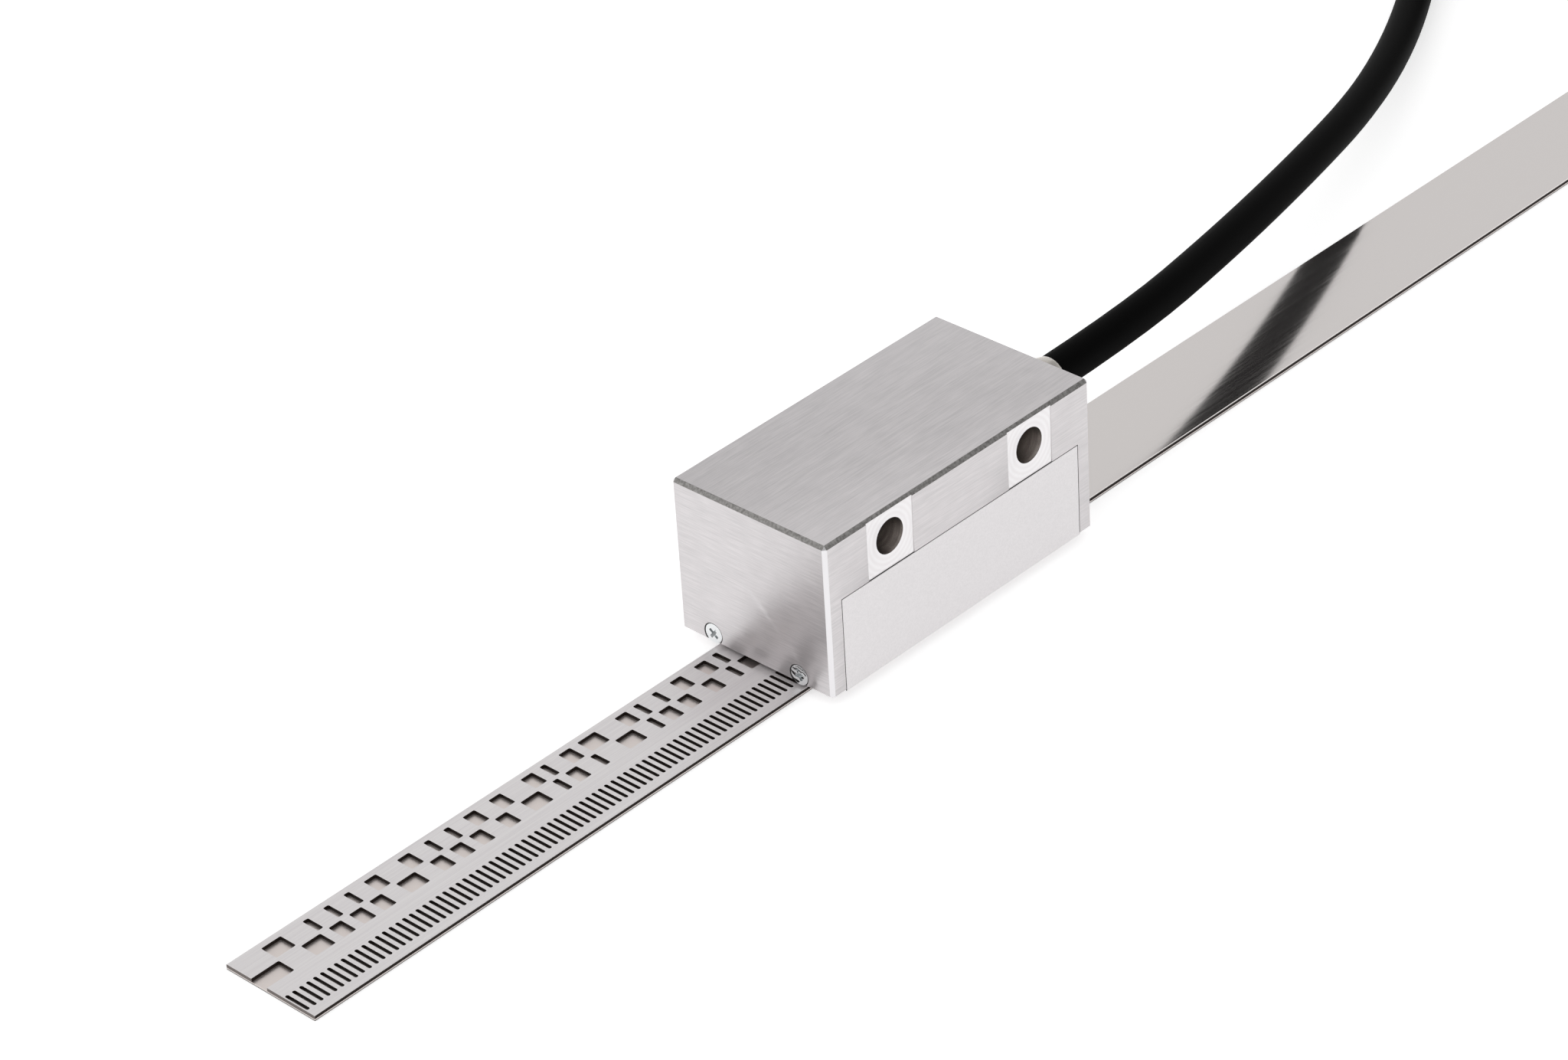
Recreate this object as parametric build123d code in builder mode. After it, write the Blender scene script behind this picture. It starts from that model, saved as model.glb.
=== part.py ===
from build123d import *

import math
import os

# Exposed linear encoder: a graduated steel tape and the scanning head that rides over it.
# Millimetres. X runs along the tape towards the cable, Y across it, Z up from the machine bed.
# The origin lies under the middle of the tape, on the head's centre line.

# Tape, layer by layer from the bed upwards
TAPE_LENGTH = 320.0
TAPE_WIDTH = 13.9
TAPE_OFFSET_Y = -0.4
ADHESIVE_THICKNESS = 0.08
CARRIER_THICKNESS = 0.12
BOND_THICKNESS = 0.05
STRIP_THICKNESS = 0.45
STRIP_EDGE_RADIUS = 0.10
COVER_THICKNESS = 0.10
COVER_START = 99.4

# Incremental slots and absolute code windows, both at one pitch, counted from the near end
PITCH = 1.0
SLOT_FIRST = 0.4
SLOT_LENGTH = 3.6
SLOT_WIDTH = 0.46
SLOT_LINE_Y = -3.87
WINDOW_FIRST = 0.06
WINDOW_WIDTH = 2.5
WINDOW_MARGIN = 0.10
WINDOW_CORNER = 0.18
INNER_TRACK_Y = 1.72
OUTER_TRACK_Y = 4.76
# Lengths of successive windows, in pitches, on the inner and the outer track in turn
CODE_RUNS = (
    (4, 3, 3, 1, 2, 1, 2, 1, 2, 2, 3, 2, 2, 1, 2, 1, 2, 2, 2, 2)
    + (3, 2, 1, 1, 2, 2, 1, 3, 3, 2, 1, 1, 2, 1, 2, 2, 2, 2, 1, 1)
    + (2, 1, 3, 2, 1, 2, 2, 1, 2, 3, 1, 2, 2)
)

# Head housing, milled from one aluminium block and open below
HEAD_LENGTH = 45.8
HEAD_WIDTH = 23.8
HEAD_HEIGHT = 20.8
HEAD_FROM_END = 75.85
RIDE_GAP = 0.25
EDGE_CHAMFER = 0.45
FOOT_CHAMFER = 0.20
END_WALL = 2.6
SIDE_WALL = 1.9
LEDGE = 1.5
CAVITY_HEIGHT = 12.4
CUTTER_RADIUS = 1.5

# Two cross holes, with a milled pad round each on both sides
HOLE_DIAMETER = 4.5
HOLE_SPACING = 24.2
HOLE_BELOW_TOP = 3.9
PAD_WIDTH = 7.7
PAD_DEPTH = 0.10

# Blank foil in its recess on the right-hand side
LABEL_MARGIN = 2.4
LABEL_TOP = 12.65
LABEL_GAP = 0.10
LABEL_THICKNESS = 0.10

# Sensor tray, which closes the housing from below
FIT = 0.10
TRAY_THICKNESS = 2.7
GASKET_THICKNESS = 0.4
SENSOR_COVER_THICKNESS = 0.10
COIL_BOARD_END_MARGIN = 4.3
COIL_BOARD_SIDE_MARGIN = 3.0
COIL_BOARD_THICKNESS = 0.5
FLEX_INSET = 2.0
FLEX_WIDTH = 6.0
FLEX_THICKNESS = 0.15
FLEX_FOOT = 1.2
FLEX_BEND = 0.4
FLEX_SLOT_ROOM = 0.6

# Countersunk screws through the end walls into the tray
SCREW_MARGIN = 5.175
SCREW_HEIGHT = 1.4
SCREW_HEAD_DIAMETER = 2.75
SCREW_HEAD_DEPTH = 0.05
SCREW_DIAMETER = 1.6
SCREW_LENGTH = 5.8
SCREW_FIT = 0.02
CROSS_WIDTH = 0.32
CROSS_LENGTH = 1.5
CROSS_DEPTH = 0.45

# Electronics on posts above the tray
BOARD_THICKNESS = 1.0
BOARD_MARGIN = 0.5
POST_DIAMETER = 3.2
POST_HEIGHT = 3.2
POST_END_MARGIN = 3.3
POST_SIDE_MARGIN = 2.9
SPIGOT_DIAMETER = 2.0
SPIGOT_LENGTH = 1.0
BOARD_SCREW_HEAD_DIAMETER = 3.0
BOARD_SCREW_HEAD_HEIGHT = 0.9
BOARD_SCREW_DEPTH = 2.2
HEADER_LENGTH = 2.4
HEADER_WIDTH = 7.4
HEADER_HEIGHT = 2.6
CAPACITOR_LENGTH = 1.6
CAPACITOR_WIDTH = 0.8
CAPACITOR_HEIGHT = 0.8
CAPACITOR_MARGIN = 8.3
CAPACITOR_PITCH = 1.6
CAPACITOR_COUNT = 6
PROCESSOR_SIDE = 7.0
CONVERTER_SIDE = 5.0
DRIVER_SIDE = 4.0
CHIP_HEIGHT = 0.9
CHIP_SHIFT = 2.5

# Cable outlet in the back wall
CABLE_DIAMETER = 4.8
CABLE_HEIGHT = 13.4
BORE_DEPTH = 7.6
SLEEVE_DIAMETER = 5.8
SLEEVE_INSIDE = 3.8
SLEEVE_OUTSIDE = 6.8
SLEEVE_NOSE = 2.4
SLEEVE_FIT = 0.02
SLEEVE_CABLE_FIT = 0.03
SEAL_DIAMETER = 7.0
SEAL_WIDTH = 1.2
SEAL_INSET = 1.2
FERRULE_LENGTH = 0.8
WIRES_DIAMETER = 2.2
WIRES_BEND = 1.5
HEADER_INSET = 5.9

# Cable laid out behind the head, its spare length folded into a flat hank with two ties
HANK_START = 131.6
HANK_STRAIGHT = 46.0
HANK_Y = 31.8
HANK_FOLD = 3.5 * CABLE_DIAMETER
HANK_CORNER = 2.0
TIE_THICKNESS = 0.5
TIE_WIDTH = 5.0
TAIL_LENGTH = 28.0
TAIL_SHIFT = 0.6

# Round connector with a screw ring, on the cable's end
RING_DIAMETER = 14.4
RING_LENGTH = 9.0
RING_FIT = 0.1
RING_NOTCHES = 20
RING_NOTCH = 0.8
THREAD_DIAMETER = 12.0
THREAD_LENGTH = 6.5
RIB_LENGTH = 1.7
RIB_DEPTH = 0.55
GRIP_DIAMETER = 11.8
GRIP_LENGTH = 14.0
GRIP_FLUTES = 8
GRIP_FLUTE = 1.6
RELIEF_LENGTH = 13.0
RELIEF_REAR_DIAMETER = 7.2
RELIEF_FRONT_DIAMETER = 9.6
RELIEF_GROOVE = 1.2
RELIEF_GROOVES = 3
NECK_DIAMETER = 9.8
NECK_LENGTH = 7.0
INSERT_DIAMETER = 8.6
INSERT_LENGTH = 4.5
INSERT_SPIGOT_DIAMETER = 6.8
INSERT_SPIGOT_LENGTH = 6.0
KEY_WIDTH = 1.0
KEY_HEIGHT = 0.5
PIN_DIAMETER = 0.8
PIN_CIRCLE = 5.5
PIN_COUNT = 7
PIN_REACH = 3.7
PIN_SEAT = 3.5
PIN_FIT = 0.01

# Places worked out from the sizes above
TAPE_NEAR = -TAPE_LENGTH / 2
CARRIER_BOTTOM = ADHESIVE_THICKNESS
BOND_BOTTOM = CARRIER_BOTTOM + CARRIER_THICKNESS
STRIP_BOTTOM = BOND_BOTTOM + BOND_THICKNESS
TAPE_TOP = STRIP_BOTTOM + STRIP_THICKNESS
HEAD_BOTTOM = TAPE_TOP + RIDE_GAP
HEAD_TOP = HEAD_BOTTOM + HEAD_HEIGHT
HEAD_NEAR = TAPE_NEAR + HEAD_FROM_END
HEAD_X = HEAD_NEAR + HEAD_LENGTH / 2
HEAD_BACK = HEAD_NEAR + HEAD_LENGTH
SEAT_LENGTH = HEAD_LENGTH - 2 * END_WALL
SEAT_WIDTH = HEAD_WIDTH - 2 * SIDE_WALL
CAVITY_LENGTH = SEAT_LENGTH - 2 * LEDGE
CAVITY_WIDTH = SEAT_WIDTH - 2 * LEDGE
LABEL_LENGTH = HEAD_LENGTH - 2 * LABEL_MARGIN
SCREW_SPACING = HEAD_WIDTH - 2 * SCREW_MARGIN
COIL_BOARD_LENGTH = SEAT_LENGTH - 2 * COIL_BOARD_END_MARGIN
COIL_BOARD_WIDTH = SEAT_WIDTH - 2 * COIL_BOARD_SIDE_MARGIN
BOARD_LENGTH = CAVITY_LENGTH - 2 * BOARD_MARGIN
BOARD_WIDTH = CAVITY_WIDTH - 2 * BOARD_MARGIN
POST_SPACING_X = CAVITY_LENGTH - 2 * POST_END_MARGIN
POST_SPACING_Y = CAVITY_WIDTH - 2 * POST_SIDE_MARGIN
TRAY_BOTTOM = HEAD_BOTTOM + SENSOR_COVER_THICKNESS
TRAY_TOP = TRAY_BOTTOM + TRAY_THICKNESS
LEDGE_Z = TRAY_TOP + GASKET_THICKNESS
SCREW_Z = HEAD_BOTTOM + SCREW_HEIGHT
BOARD_BOTTOM = TRAY_TOP + POST_HEIGHT
BOARD_TOP = BOARD_BOTTOM + BOARD_THICKNESS
CABLE_Z = HEAD_BOTTOM + CABLE_HEIGHT
HEADER_X = HEAD_BACK - HEADER_INSET
FLEX_X = HEAD_X - COIL_BOARD_LENGTH / 2 + FLEX_INSET
HANK_X = HANK_START + HANK_STRAIGHT / 2
HANK_END = HANK_START + HANK_STRAIGHT
HANK_SECTION = 2 * CABLE_DIAMETER
LAYER_1_Z = TIE_THICKNESS + CABLE_DIAMETER / 2
LAYER_2_Z = LAYER_1_Z + CABLE_DIAMETER
OUTER_PASS_Y = HANK_Y + HANK_FOLD + CABLE_DIAMETER / 2
RING_Z = RING_DIAMETER / 2

os.makedirs("parts", exist_ok=True)


def axis_plane(origin, direction):
    """Plane for the profile of a turned piece on a level axis: X is the radius, Y runs along it."""
    up = Vector(0, 0, 1)
    return Plane(origin=origin, x_dir=up, z_dir=up.cross(Vector(*direction)))


def cord_radii(points):
    """Radius of each bend in a cord's route: 0.45 of the shorter run over the tangent of half the turn."""
    runs = [Vector(*b) - Vector(*a) for a, b in zip(points, points[1:])]
    radii = []
    for run, following in zip(runs, runs[1:]):
        half_turn = math.radians(run.get_angle(following)) / 2
        radii.append(0.45 * min(run.length, following.length) / math.tan(half_turn))
    print("bend radii", [round(radius, 1) for radius in radii])
    return radii


def print_volume_share(tube, path):
    """Compares a cord's volume with its section times its length."""
    swept = math.pi * CABLE_DIAMETER**2 / 4 * path.length
    print("cord length", round(path.length, 1), "volume share", round(tube.part.volume / swept, 4))


# Adhesive that holds the tape to the bed
with BuildPart() as adhesive_strip:
    with BuildSketch(Plane.XY):
        with Locations((0, TAPE_OFFSET_Y)):
            Rectangle(TAPE_LENGTH, TAPE_WIDTH)
    extrude(amount=ADHESIVE_THICKNESS)
adhesive_strip.part.label = "adhesive_strip"
export_step(adhesive_strip.part, "parts/adhesive_strip.step")

# Steel carrier
with BuildPart() as carrier_strip:
    with BuildSketch(Plane.XY.offset(CARRIER_BOTTOM)):
        with Locations((0, TAPE_OFFSET_Y)):
            Rectangle(TAPE_LENGTH, TAPE_WIDTH)
    extrude(amount=CARRIER_THICKNESS)
carrier_strip.part.label = "carrier_strip"
export_step(carrier_strip.part, "parts/carrier_strip.step")

# Film that bonds the graduated strip to the carrier
with BuildPart() as bond_film:
    with BuildSketch(Plane.XY.offset(BOND_BOTTOM)):
        with Locations((0, TAPE_OFFSET_Y)):
            Rectangle(TAPE_LENGTH, TAPE_WIDTH)
    extrude(amount=BOND_THICKNESS)
bond_film.part.label = "bond_film"
export_step(bond_film.part, "parts/bond_film.step")

# Graduated strip: one slot per pitch on the right, and two code tracks on the left that complement
# each other, so that each pitch has a window in exactly one of them. It is cut as far as the cover
# strip, and left whole under it, where nothing shows.
slot_count = round((COVER_START - SLOT_FIRST) / PITCH)
slot_places = [
    (TAPE_NEAR + SLOT_FIRST + PITCH * number, TAPE_OFFSET_Y + SLOT_LINE_Y)
    for number in range(slot_count)
]
window_edges = [WINDOW_FIRST]
for run in CODE_RUNS:
    window_edges.append(window_edges[-1] + run * PITCH)
# The near end cuts the first window open
window_edges[0] = -PITCH

with BuildPart() as graduated_strip:
    with BuildSketch(Plane.XY.offset(STRIP_BOTTOM)):
        with Locations((0, TAPE_OFFSET_Y)):
            Rectangle(TAPE_LENGTH, TAPE_WIDTH)
        with Locations(*slot_places):
            SlotOverall(SLOT_LENGTH, SLOT_WIDTH, rotation=90, mode=Mode.SUBTRACT)
        for number, (start, end) in enumerate(zip(window_edges, window_edges[1:])):
            track_y = OUTER_TRACK_Y if number % 2 else INNER_TRACK_Y
            with Locations((TAPE_NEAR + (start + end) / 2, TAPE_OFFSET_Y + track_y)):
                RectangleRounded(
                    end - start - 2 * WINDOW_MARGIN,
                    WINDOW_WIDTH,
                    WINDOW_CORNER,
                    mode=Mode.SUBTRACT,
                )
    extrude(amount=STRIP_THICKNESS)
    top_edges = graduated_strip.edges().group_by(Axis.Z)[-1]
    long_edges = top_edges.filter_by(lambda edge: edge.length > TAPE_LENGTH * 0.9)
    fillet(long_edges, STRIP_EDGE_RADIUS)
graduated_strip.part.label = "graduated_strip"
export_step(graduated_strip.part, "parts/graduated_strip.step")

# Polished cover strip, from under the head to the far end
cover_length = TAPE_LENGTH - COVER_START
with BuildPart() as cover_strip:
    with BuildSketch(Plane.XY.offset(TAPE_TOP)):
        with Locations((TAPE_NEAR + COVER_START + cover_length / 2, TAPE_OFFSET_Y)):
            Rectangle(cover_length, TAPE_WIDTH)
    extrude(amount=COVER_THICKNESS)
cover_strip.part.label = "cover_strip"
export_step(cover_strip.part, "parts/cover_strip.step")

# Housing: block, chamfers, pads, label recess, cross holes, stepped cavity, screw holes, cable bore
head_right = Plane(origin=(HEAD_X, -HEAD_WIDTH / 2, HEAD_BOTTOM), x_dir=(1, 0, 0), z_dir=(0, -1, 0))
head_left = Plane(origin=(HEAD_X, HEAD_WIDTH / 2, HEAD_BOTTOM), x_dir=(1, 0, 0), z_dir=(0, 1, 0))
head_front = Plane(origin=(HEAD_NEAR, 0, SCREW_Z), x_dir=(0, 1, 0), z_dir=(-1, 0, 0))
head_rear = Plane(origin=(HEAD_BACK, 0, SCREW_Z), x_dir=(0, 1, 0), z_dir=(1, 0, 0))
hole_height = HEAD_HEIGHT - HOLE_BELOW_TOP
pad_height = HEAD_HEIGHT - LABEL_TOP
recess_height = LABEL_TOP + LABEL_GAP

with BuildPart() as housing:
    with BuildSketch(Plane.XY.offset(HEAD_BOTTOM)):
        with Locations((HEAD_X, 0)):
            Rectangle(HEAD_LENGTH, HEAD_WIDTH)
    extrude(amount=HEAD_HEIGHT)
    chamfer(housing.edges().filter_by(Axis.Z) + housing.edges().group_by(Axis.Z)[-1], EDGE_CHAMFER)
    chamfer(housing.faces().sort_by(Axis.Z)[0].edges(), FOOT_CHAMFER)
    with BuildSketch(head_right):
        with Locations((0, LABEL_TOP + pad_height / 2)):
            with GridLocations(HOLE_SPACING, 1, 2, 1):
                Rectangle(PAD_WIDTH, pad_height)
    extrude(amount=-PAD_DEPTH, mode=Mode.SUBTRACT)
    with BuildSketch(head_left):
        with Locations((0, -LABEL_TOP - pad_height / 2)):
            with GridLocations(HOLE_SPACING, 1, 2, 1):
                Rectangle(PAD_WIDTH, pad_height)
    extrude(amount=-PAD_DEPTH, mode=Mode.SUBTRACT)
    with BuildSketch(head_right):
        with Locations((0, recess_height / 2)):
            Rectangle(LABEL_LENGTH + 2 * LABEL_GAP, recess_height)
    extrude(amount=-LABEL_THICKNESS, mode=Mode.SUBTRACT)
    with BuildSketch(head_right):
        with Locations((0, hole_height)):
            with GridLocations(HOLE_SPACING, 1, 2, 1):
                Circle(HOLE_DIAMETER / 2)
    extrude(amount=-HEAD_WIDTH, mode=Mode.SUBTRACT)
    with BuildSketch(Plane.XY.offset(HEAD_BOTTOM)):
        with Locations((HEAD_X, 0)):
            RectangleRounded(SEAT_LENGTH, SEAT_WIDTH, CUTTER_RADIUS)
    extrude(amount=LEDGE_Z - HEAD_BOTTOM, mode=Mode.SUBTRACT)
    with BuildSketch(Plane.XY.offset(LEDGE_Z)):
        with Locations((HEAD_X, 0)):
            RectangleRounded(CAVITY_LENGTH, CAVITY_WIDTH, CUTTER_RADIUS)
    extrude(amount=HEAD_BOTTOM + CAVITY_HEIGHT - LEDGE_Z, mode=Mode.SUBTRACT)
    for end_face in (head_front, head_rear):
        with Locations(end_face):
            with GridLocations(SCREW_SPACING, 1, 2, 1):
                CounterSinkHole(
                    SCREW_DIAMETER / 2 + SCREW_FIT,
                    SCREW_HEAD_DIAMETER / 2 + SCREW_HEAD_DEPTH,
                    depth=END_WALL + FIT,
                    counter_sink_angle=90,
                )
    with BuildSketch(Plane(origin=(HEAD_BACK, 0, CABLE_Z), z_dir=(1, 0, 0))):
        Circle(SLEEVE_DIAMETER / 2 + SLEEVE_FIT)
    extrude(amount=-BORE_DEPTH, mode=Mode.SUBTRACT)
    with BuildSketch(Plane(origin=(HEAD_BACK - SEAL_INSET, 0, CABLE_Z), z_dir=(1, 0, 0))):
        Circle(SEAL_DIAMETER / 2)
    extrude(amount=-SEAL_WIDTH, mode=Mode.SUBTRACT)
housing.part.label = "housing"
export_step(housing.part, "parts/housing.step")

# Blank foil, flush in its recess
with BuildPart() as label_foil:
    with BuildSketch(head_right):
        with Locations((0, (FOOT_CHAMFER + LABEL_TOP) / 2)):
            Rectangle(LABEL_LENGTH, LABEL_TOP - FOOT_CHAMFER)
    extrude(amount=-LABEL_THICKNESS)
label_foil.part.label = "label_foil"
export_step(label_foil.part, "parts/label_foil.step")

# Gasket frame between the tray and the ledge in the housing
with BuildPart() as tray_gasket:
    with BuildSketch(Plane.XY.offset(TRAY_TOP)):
        with Locations((HEAD_X, 0)):
            RectangleRounded(SEAT_LENGTH - 2 * FIT, SEAT_WIDTH - 2 * FIT, CUTTER_RADIUS)
            RectangleRounded(CAVITY_LENGTH, CAVITY_WIDTH, CUTTER_RADIUS, mode=Mode.SUBTRACT)
    extrude(amount=GASKET_THICKNESS)
tray_gasket.part.label = "tray_gasket"
export_step(tray_gasket.part, "parts/tray_gasket.step")

# Tray: pocket for the coil board below, slot for the flex, seats for the posts, tapped ends
flex_slot_length = FLEX_FOOT + FLEX_SLOT_ROOM
with BuildPart() as sensor_tray:
    with BuildSketch(Plane.XY.offset(TRAY_BOTTOM)):
        with Locations((HEAD_X, 0)):
            RectangleRounded(SEAT_LENGTH - 2 * FIT, SEAT_WIDTH - 2 * FIT, CUTTER_RADIUS)
    extrude(amount=TRAY_THICKNESS)
    with BuildSketch(Plane.XY.offset(TRAY_BOTTOM)):
        with Locations((HEAD_X, 0)):
            Rectangle(COIL_BOARD_LENGTH + 2 * FIT, COIL_BOARD_WIDTH + 2 * FIT)
    extrude(amount=COIL_BOARD_THICKNESS, mode=Mode.SUBTRACT)
    with BuildSketch(Plane.XY.offset(TRAY_BOTTOM)):
        with Locations((FLEX_X, 0)):
            Rectangle(flex_slot_length, FLEX_WIDTH + FLEX_SLOT_ROOM)
    extrude(amount=TRAY_THICKNESS, mode=Mode.SUBTRACT)
    with BuildSketch(Plane.XY.offset(TRAY_TOP)):
        with Locations((HEAD_X, 0)):
            with GridLocations(POST_SPACING_X, POST_SPACING_Y, 2, 2):
                Circle(SPIGOT_DIAMETER / 2 + SCREW_FIT)
    extrude(amount=-SPIGOT_LENGTH, mode=Mode.SUBTRACT)
    for end_face in (head_front, head_rear):
        with BuildSketch(end_face):
            with GridLocations(SCREW_SPACING, 1, 2, 1):
                Circle(SCREW_DIAMETER / 2 + SCREW_FIT)
        extrude(amount=-SCREW_LENGTH - FIT, mode=Mode.SUBTRACT)
sensor_tray.part.label = "sensor_tray"
export_step(sensor_tray.part, "parts/sensor_tray.step")

# Board that carries the sensing coils, facing the tape
with BuildPart() as coil_board:
    with BuildSketch(Plane.XY.offset(TRAY_BOTTOM)):
        with Locations((HEAD_X, 0)):
            Rectangle(COIL_BOARD_LENGTH, COIL_BOARD_WIDTH)
    extrude(amount=COIL_BOARD_THICKNESS)
coil_board.part.label = "coil_board"
export_step(coil_board.part, "parts/coil_board.step")

# Thin stainless foil that seals the sensing face
with BuildPart() as sensor_cover:
    with BuildSketch(Plane.XY.offset(HEAD_BOTTOM)):
        with Locations((HEAD_X, 0)):
            RectangleRounded(SEAT_LENGTH - 2 * FIT, SEAT_WIDTH - 2 * FIT, CUTTER_RADIUS)
    extrude(amount=SENSOR_COVER_THICKNESS)
sensor_cover.part.label = "sensor_cover"
export_step(sensor_cover.part, "parts/sensor_cover.step")

# Flexible link from the coil board up through the tray to the underside of the main board
flex_low = TRAY_BOTTOM + COIL_BOARD_THICKNESS + FLEX_THICKNESS / 2
flex_high = BOARD_BOTTOM - FLEX_THICKNESS / 2
with BuildPart() as flex_link:
    with BuildLine() as flex_route:
        FilletPolyline(
            (FLEX_X + FLEX_FOOT / 2, 0, flex_low),
            (FLEX_X - FLEX_FOOT / 2 + FLEX_THICKNESS, 0, flex_low),
            (FLEX_X - FLEX_FOOT / 2 + FLEX_THICKNESS, 0, flex_high),
            (FLEX_X + FLEX_FOOT, 0, flex_high),
            radius=FLEX_BEND,
        )
    with BuildSketch(Plane(origin=flex_route.line @ 0, x_dir=(0, 1, 0), z_dir=flex_route.line % 0)):
        Rectangle(FLEX_WIDTH, FLEX_THICKNESS)
    sweep(path=flex_route.line)
flex_link.part.label = "flex_link"
export_step(flex_link.part, "parts/flex_link.step")

# Posts with spigots in the tray, tapped for the board screws
with BuildPart() as board_posts:
    with BuildSketch(Plane.XY.offset(TRAY_TOP)):
        with Locations((HEAD_X, 0)):
            with GridLocations(POST_SPACING_X, POST_SPACING_Y, 2, 2):
                Circle(POST_DIAMETER / 2)
    extrude(amount=POST_HEIGHT)
    with BuildSketch(Plane.XY.offset(TRAY_TOP)):
        with Locations((HEAD_X, 0)):
            with GridLocations(POST_SPACING_X, POST_SPACING_Y, 2, 2):
                Circle(SPIGOT_DIAMETER / 2)
    extrude(amount=-SPIGOT_LENGTH)
    with BuildSketch(Plane.XY.offset(BOARD_BOTTOM)):
        with Locations((HEAD_X, 0)):
            with GridLocations(POST_SPACING_X, POST_SPACING_Y, 2, 2):
                Circle(SCREW_DIAMETER / 2 + SCREW_FIT)
    extrude(amount=-BOARD_SCREW_DEPTH - FIT, mode=Mode.SUBTRACT)
board_posts.part.label = "board_posts"
export_step(board_posts.part, "parts/board_posts.step")

# Evaluation board
with BuildPart() as main_board:
    with BuildSketch(Plane.XY.offset(BOARD_BOTTOM)):
        with Locations((HEAD_X, 0)):
            Rectangle(BOARD_LENGTH, BOARD_WIDTH)
            with GridLocations(POST_SPACING_X, POST_SPACING_Y, 2, 2):
                Circle(SCREW_DIAMETER / 2 + FIT, mode=Mode.SUBTRACT)
    extrude(amount=BOARD_THICKNESS)
main_board.part.label = "main_board"
export_step(main_board.part, "parts/main_board.step")

# Board screws
with BuildPart() as board_screws:
    with BuildSketch(Plane.XY.offset(BOARD_TOP)):
        with Locations((HEAD_X, 0)):
            with GridLocations(POST_SPACING_X, POST_SPACING_Y, 2, 2):
                Circle(BOARD_SCREW_HEAD_DIAMETER / 2)
    extrude(amount=BOARD_SCREW_HEAD_HEIGHT)
    with BuildSketch(Plane.XY.offset(BOARD_TOP)):
        with Locations((HEAD_X, 0)):
            with GridLocations(POST_SPACING_X, POST_SPACING_Y, 2, 2):
                Circle(SCREW_DIAMETER / 2)
    extrude(amount=-BOARD_THICKNESS - BOARD_SCREW_DEPTH)
board_screws.part.label = "board_screws"
export_step(board_screws.part, "parts/board_screws.step")

# A row of capacitors, the processor, the signal converter and the line driver, one behind the other,
# with four equal gaps up to the header
capacitor_x = HEAD_X - BOARD_LENGTH / 2 + CAPACITOR_MARGIN
row_length = HEADER_X - HEADER_LENGTH / 2 - capacitor_x
chip_gap = (row_length - PROCESSOR_SIDE - CONVERTER_SIDE - DRIVER_SIDE) / 4
processor_x = capacitor_x + chip_gap + PROCESSOR_SIDE / 2
converter_x = processor_x + (PROCESSOR_SIDE + CONVERTER_SIDE) / 2 + chip_gap
driver_x = converter_x + (CONVERTER_SIDE + DRIVER_SIDE) / 2 + chip_gap
with BuildPart() as board_chips:
    with BuildSketch(Plane.XY.offset(BOARD_TOP)):
        with Locations((processor_x, 0)):
            Rectangle(PROCESSOR_SIDE, PROCESSOR_SIDE)
        with Locations((converter_x, CHIP_SHIFT)):
            Rectangle(CONVERTER_SIDE, CONVERTER_SIDE)
        with Locations((driver_x, -CHIP_SHIFT)):
            Rectangle(DRIVER_SIDE, DRIVER_SIDE)
    extrude(amount=CHIP_HEIGHT)
    with BuildSketch(Plane.XY.offset(BOARD_TOP)):
        with Locations((capacitor_x, 0)):
            with GridLocations(1, CAPACITOR_PITCH, 1, CAPACITOR_COUNT):
                Rectangle(CAPACITOR_LENGTH, CAPACITOR_WIDTH)
    extrude(amount=CAPACITOR_HEIGHT)
board_chips.part.label = "board_chips"
export_step(board_chips.part, "parts/board_chips.step")

# Header where the cable's wires reach the board
with BuildPart() as wire_header:
    with BuildSketch(Plane.XY.offset(BOARD_TOP)):
        with Locations((HEADER_X, 0)):
            Rectangle(HEADER_LENGTH, HEADER_WIDTH)
    extrude(amount=HEADER_HEIGHT)
wire_header.part.label = "wire_header"
export_step(wire_header.part, "parts/wire_header.step")

# End screws: countersunk head with a cross recess, two in each end wall
screw_profile = [
    (0, -SCREW_LENGTH),
    (SCREW_DIAMETER / 2, -SCREW_LENGTH),
    (SCREW_DIAMETER / 2, -SCREW_HEAD_DEPTH - (SCREW_HEAD_DIAMETER - SCREW_DIAMETER) / 2),
    (SCREW_HEAD_DIAMETER / 2, -SCREW_HEAD_DEPTH),
    (0, -SCREW_HEAD_DEPTH),
]
with BuildPart() as end_screws:
    for face_x, outward in ((HEAD_NEAR, -1), (HEAD_BACK, 1)):
        for side in (-1, 1):
            centre = (face_x, side * SCREW_SPACING / 2, SCREW_Z)
            with BuildSketch(axis_plane(centre, (outward, 0, 0))):
                with BuildLine():
                    Polyline(*screw_profile, close=True)
                make_face()
            revolve(axis=Axis(centre, (outward, 0, 0)))
            face = Plane(origin=centre, x_dir=(0, 1, 1), z_dir=(outward, 0, 0)).offset(-SCREW_HEAD_DEPTH)
            with BuildSketch(face):
                Rectangle(CROSS_LENGTH, CROSS_WIDTH)
                Rectangle(CROSS_WIDTH, CROSS_LENGTH)
            extrude(amount=-CROSS_DEPTH, mode=Mode.SUBTRACT)
end_screws.part.label = "end_screws"
export_step(end_screws.part, "parts/end_screws.step")

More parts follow.
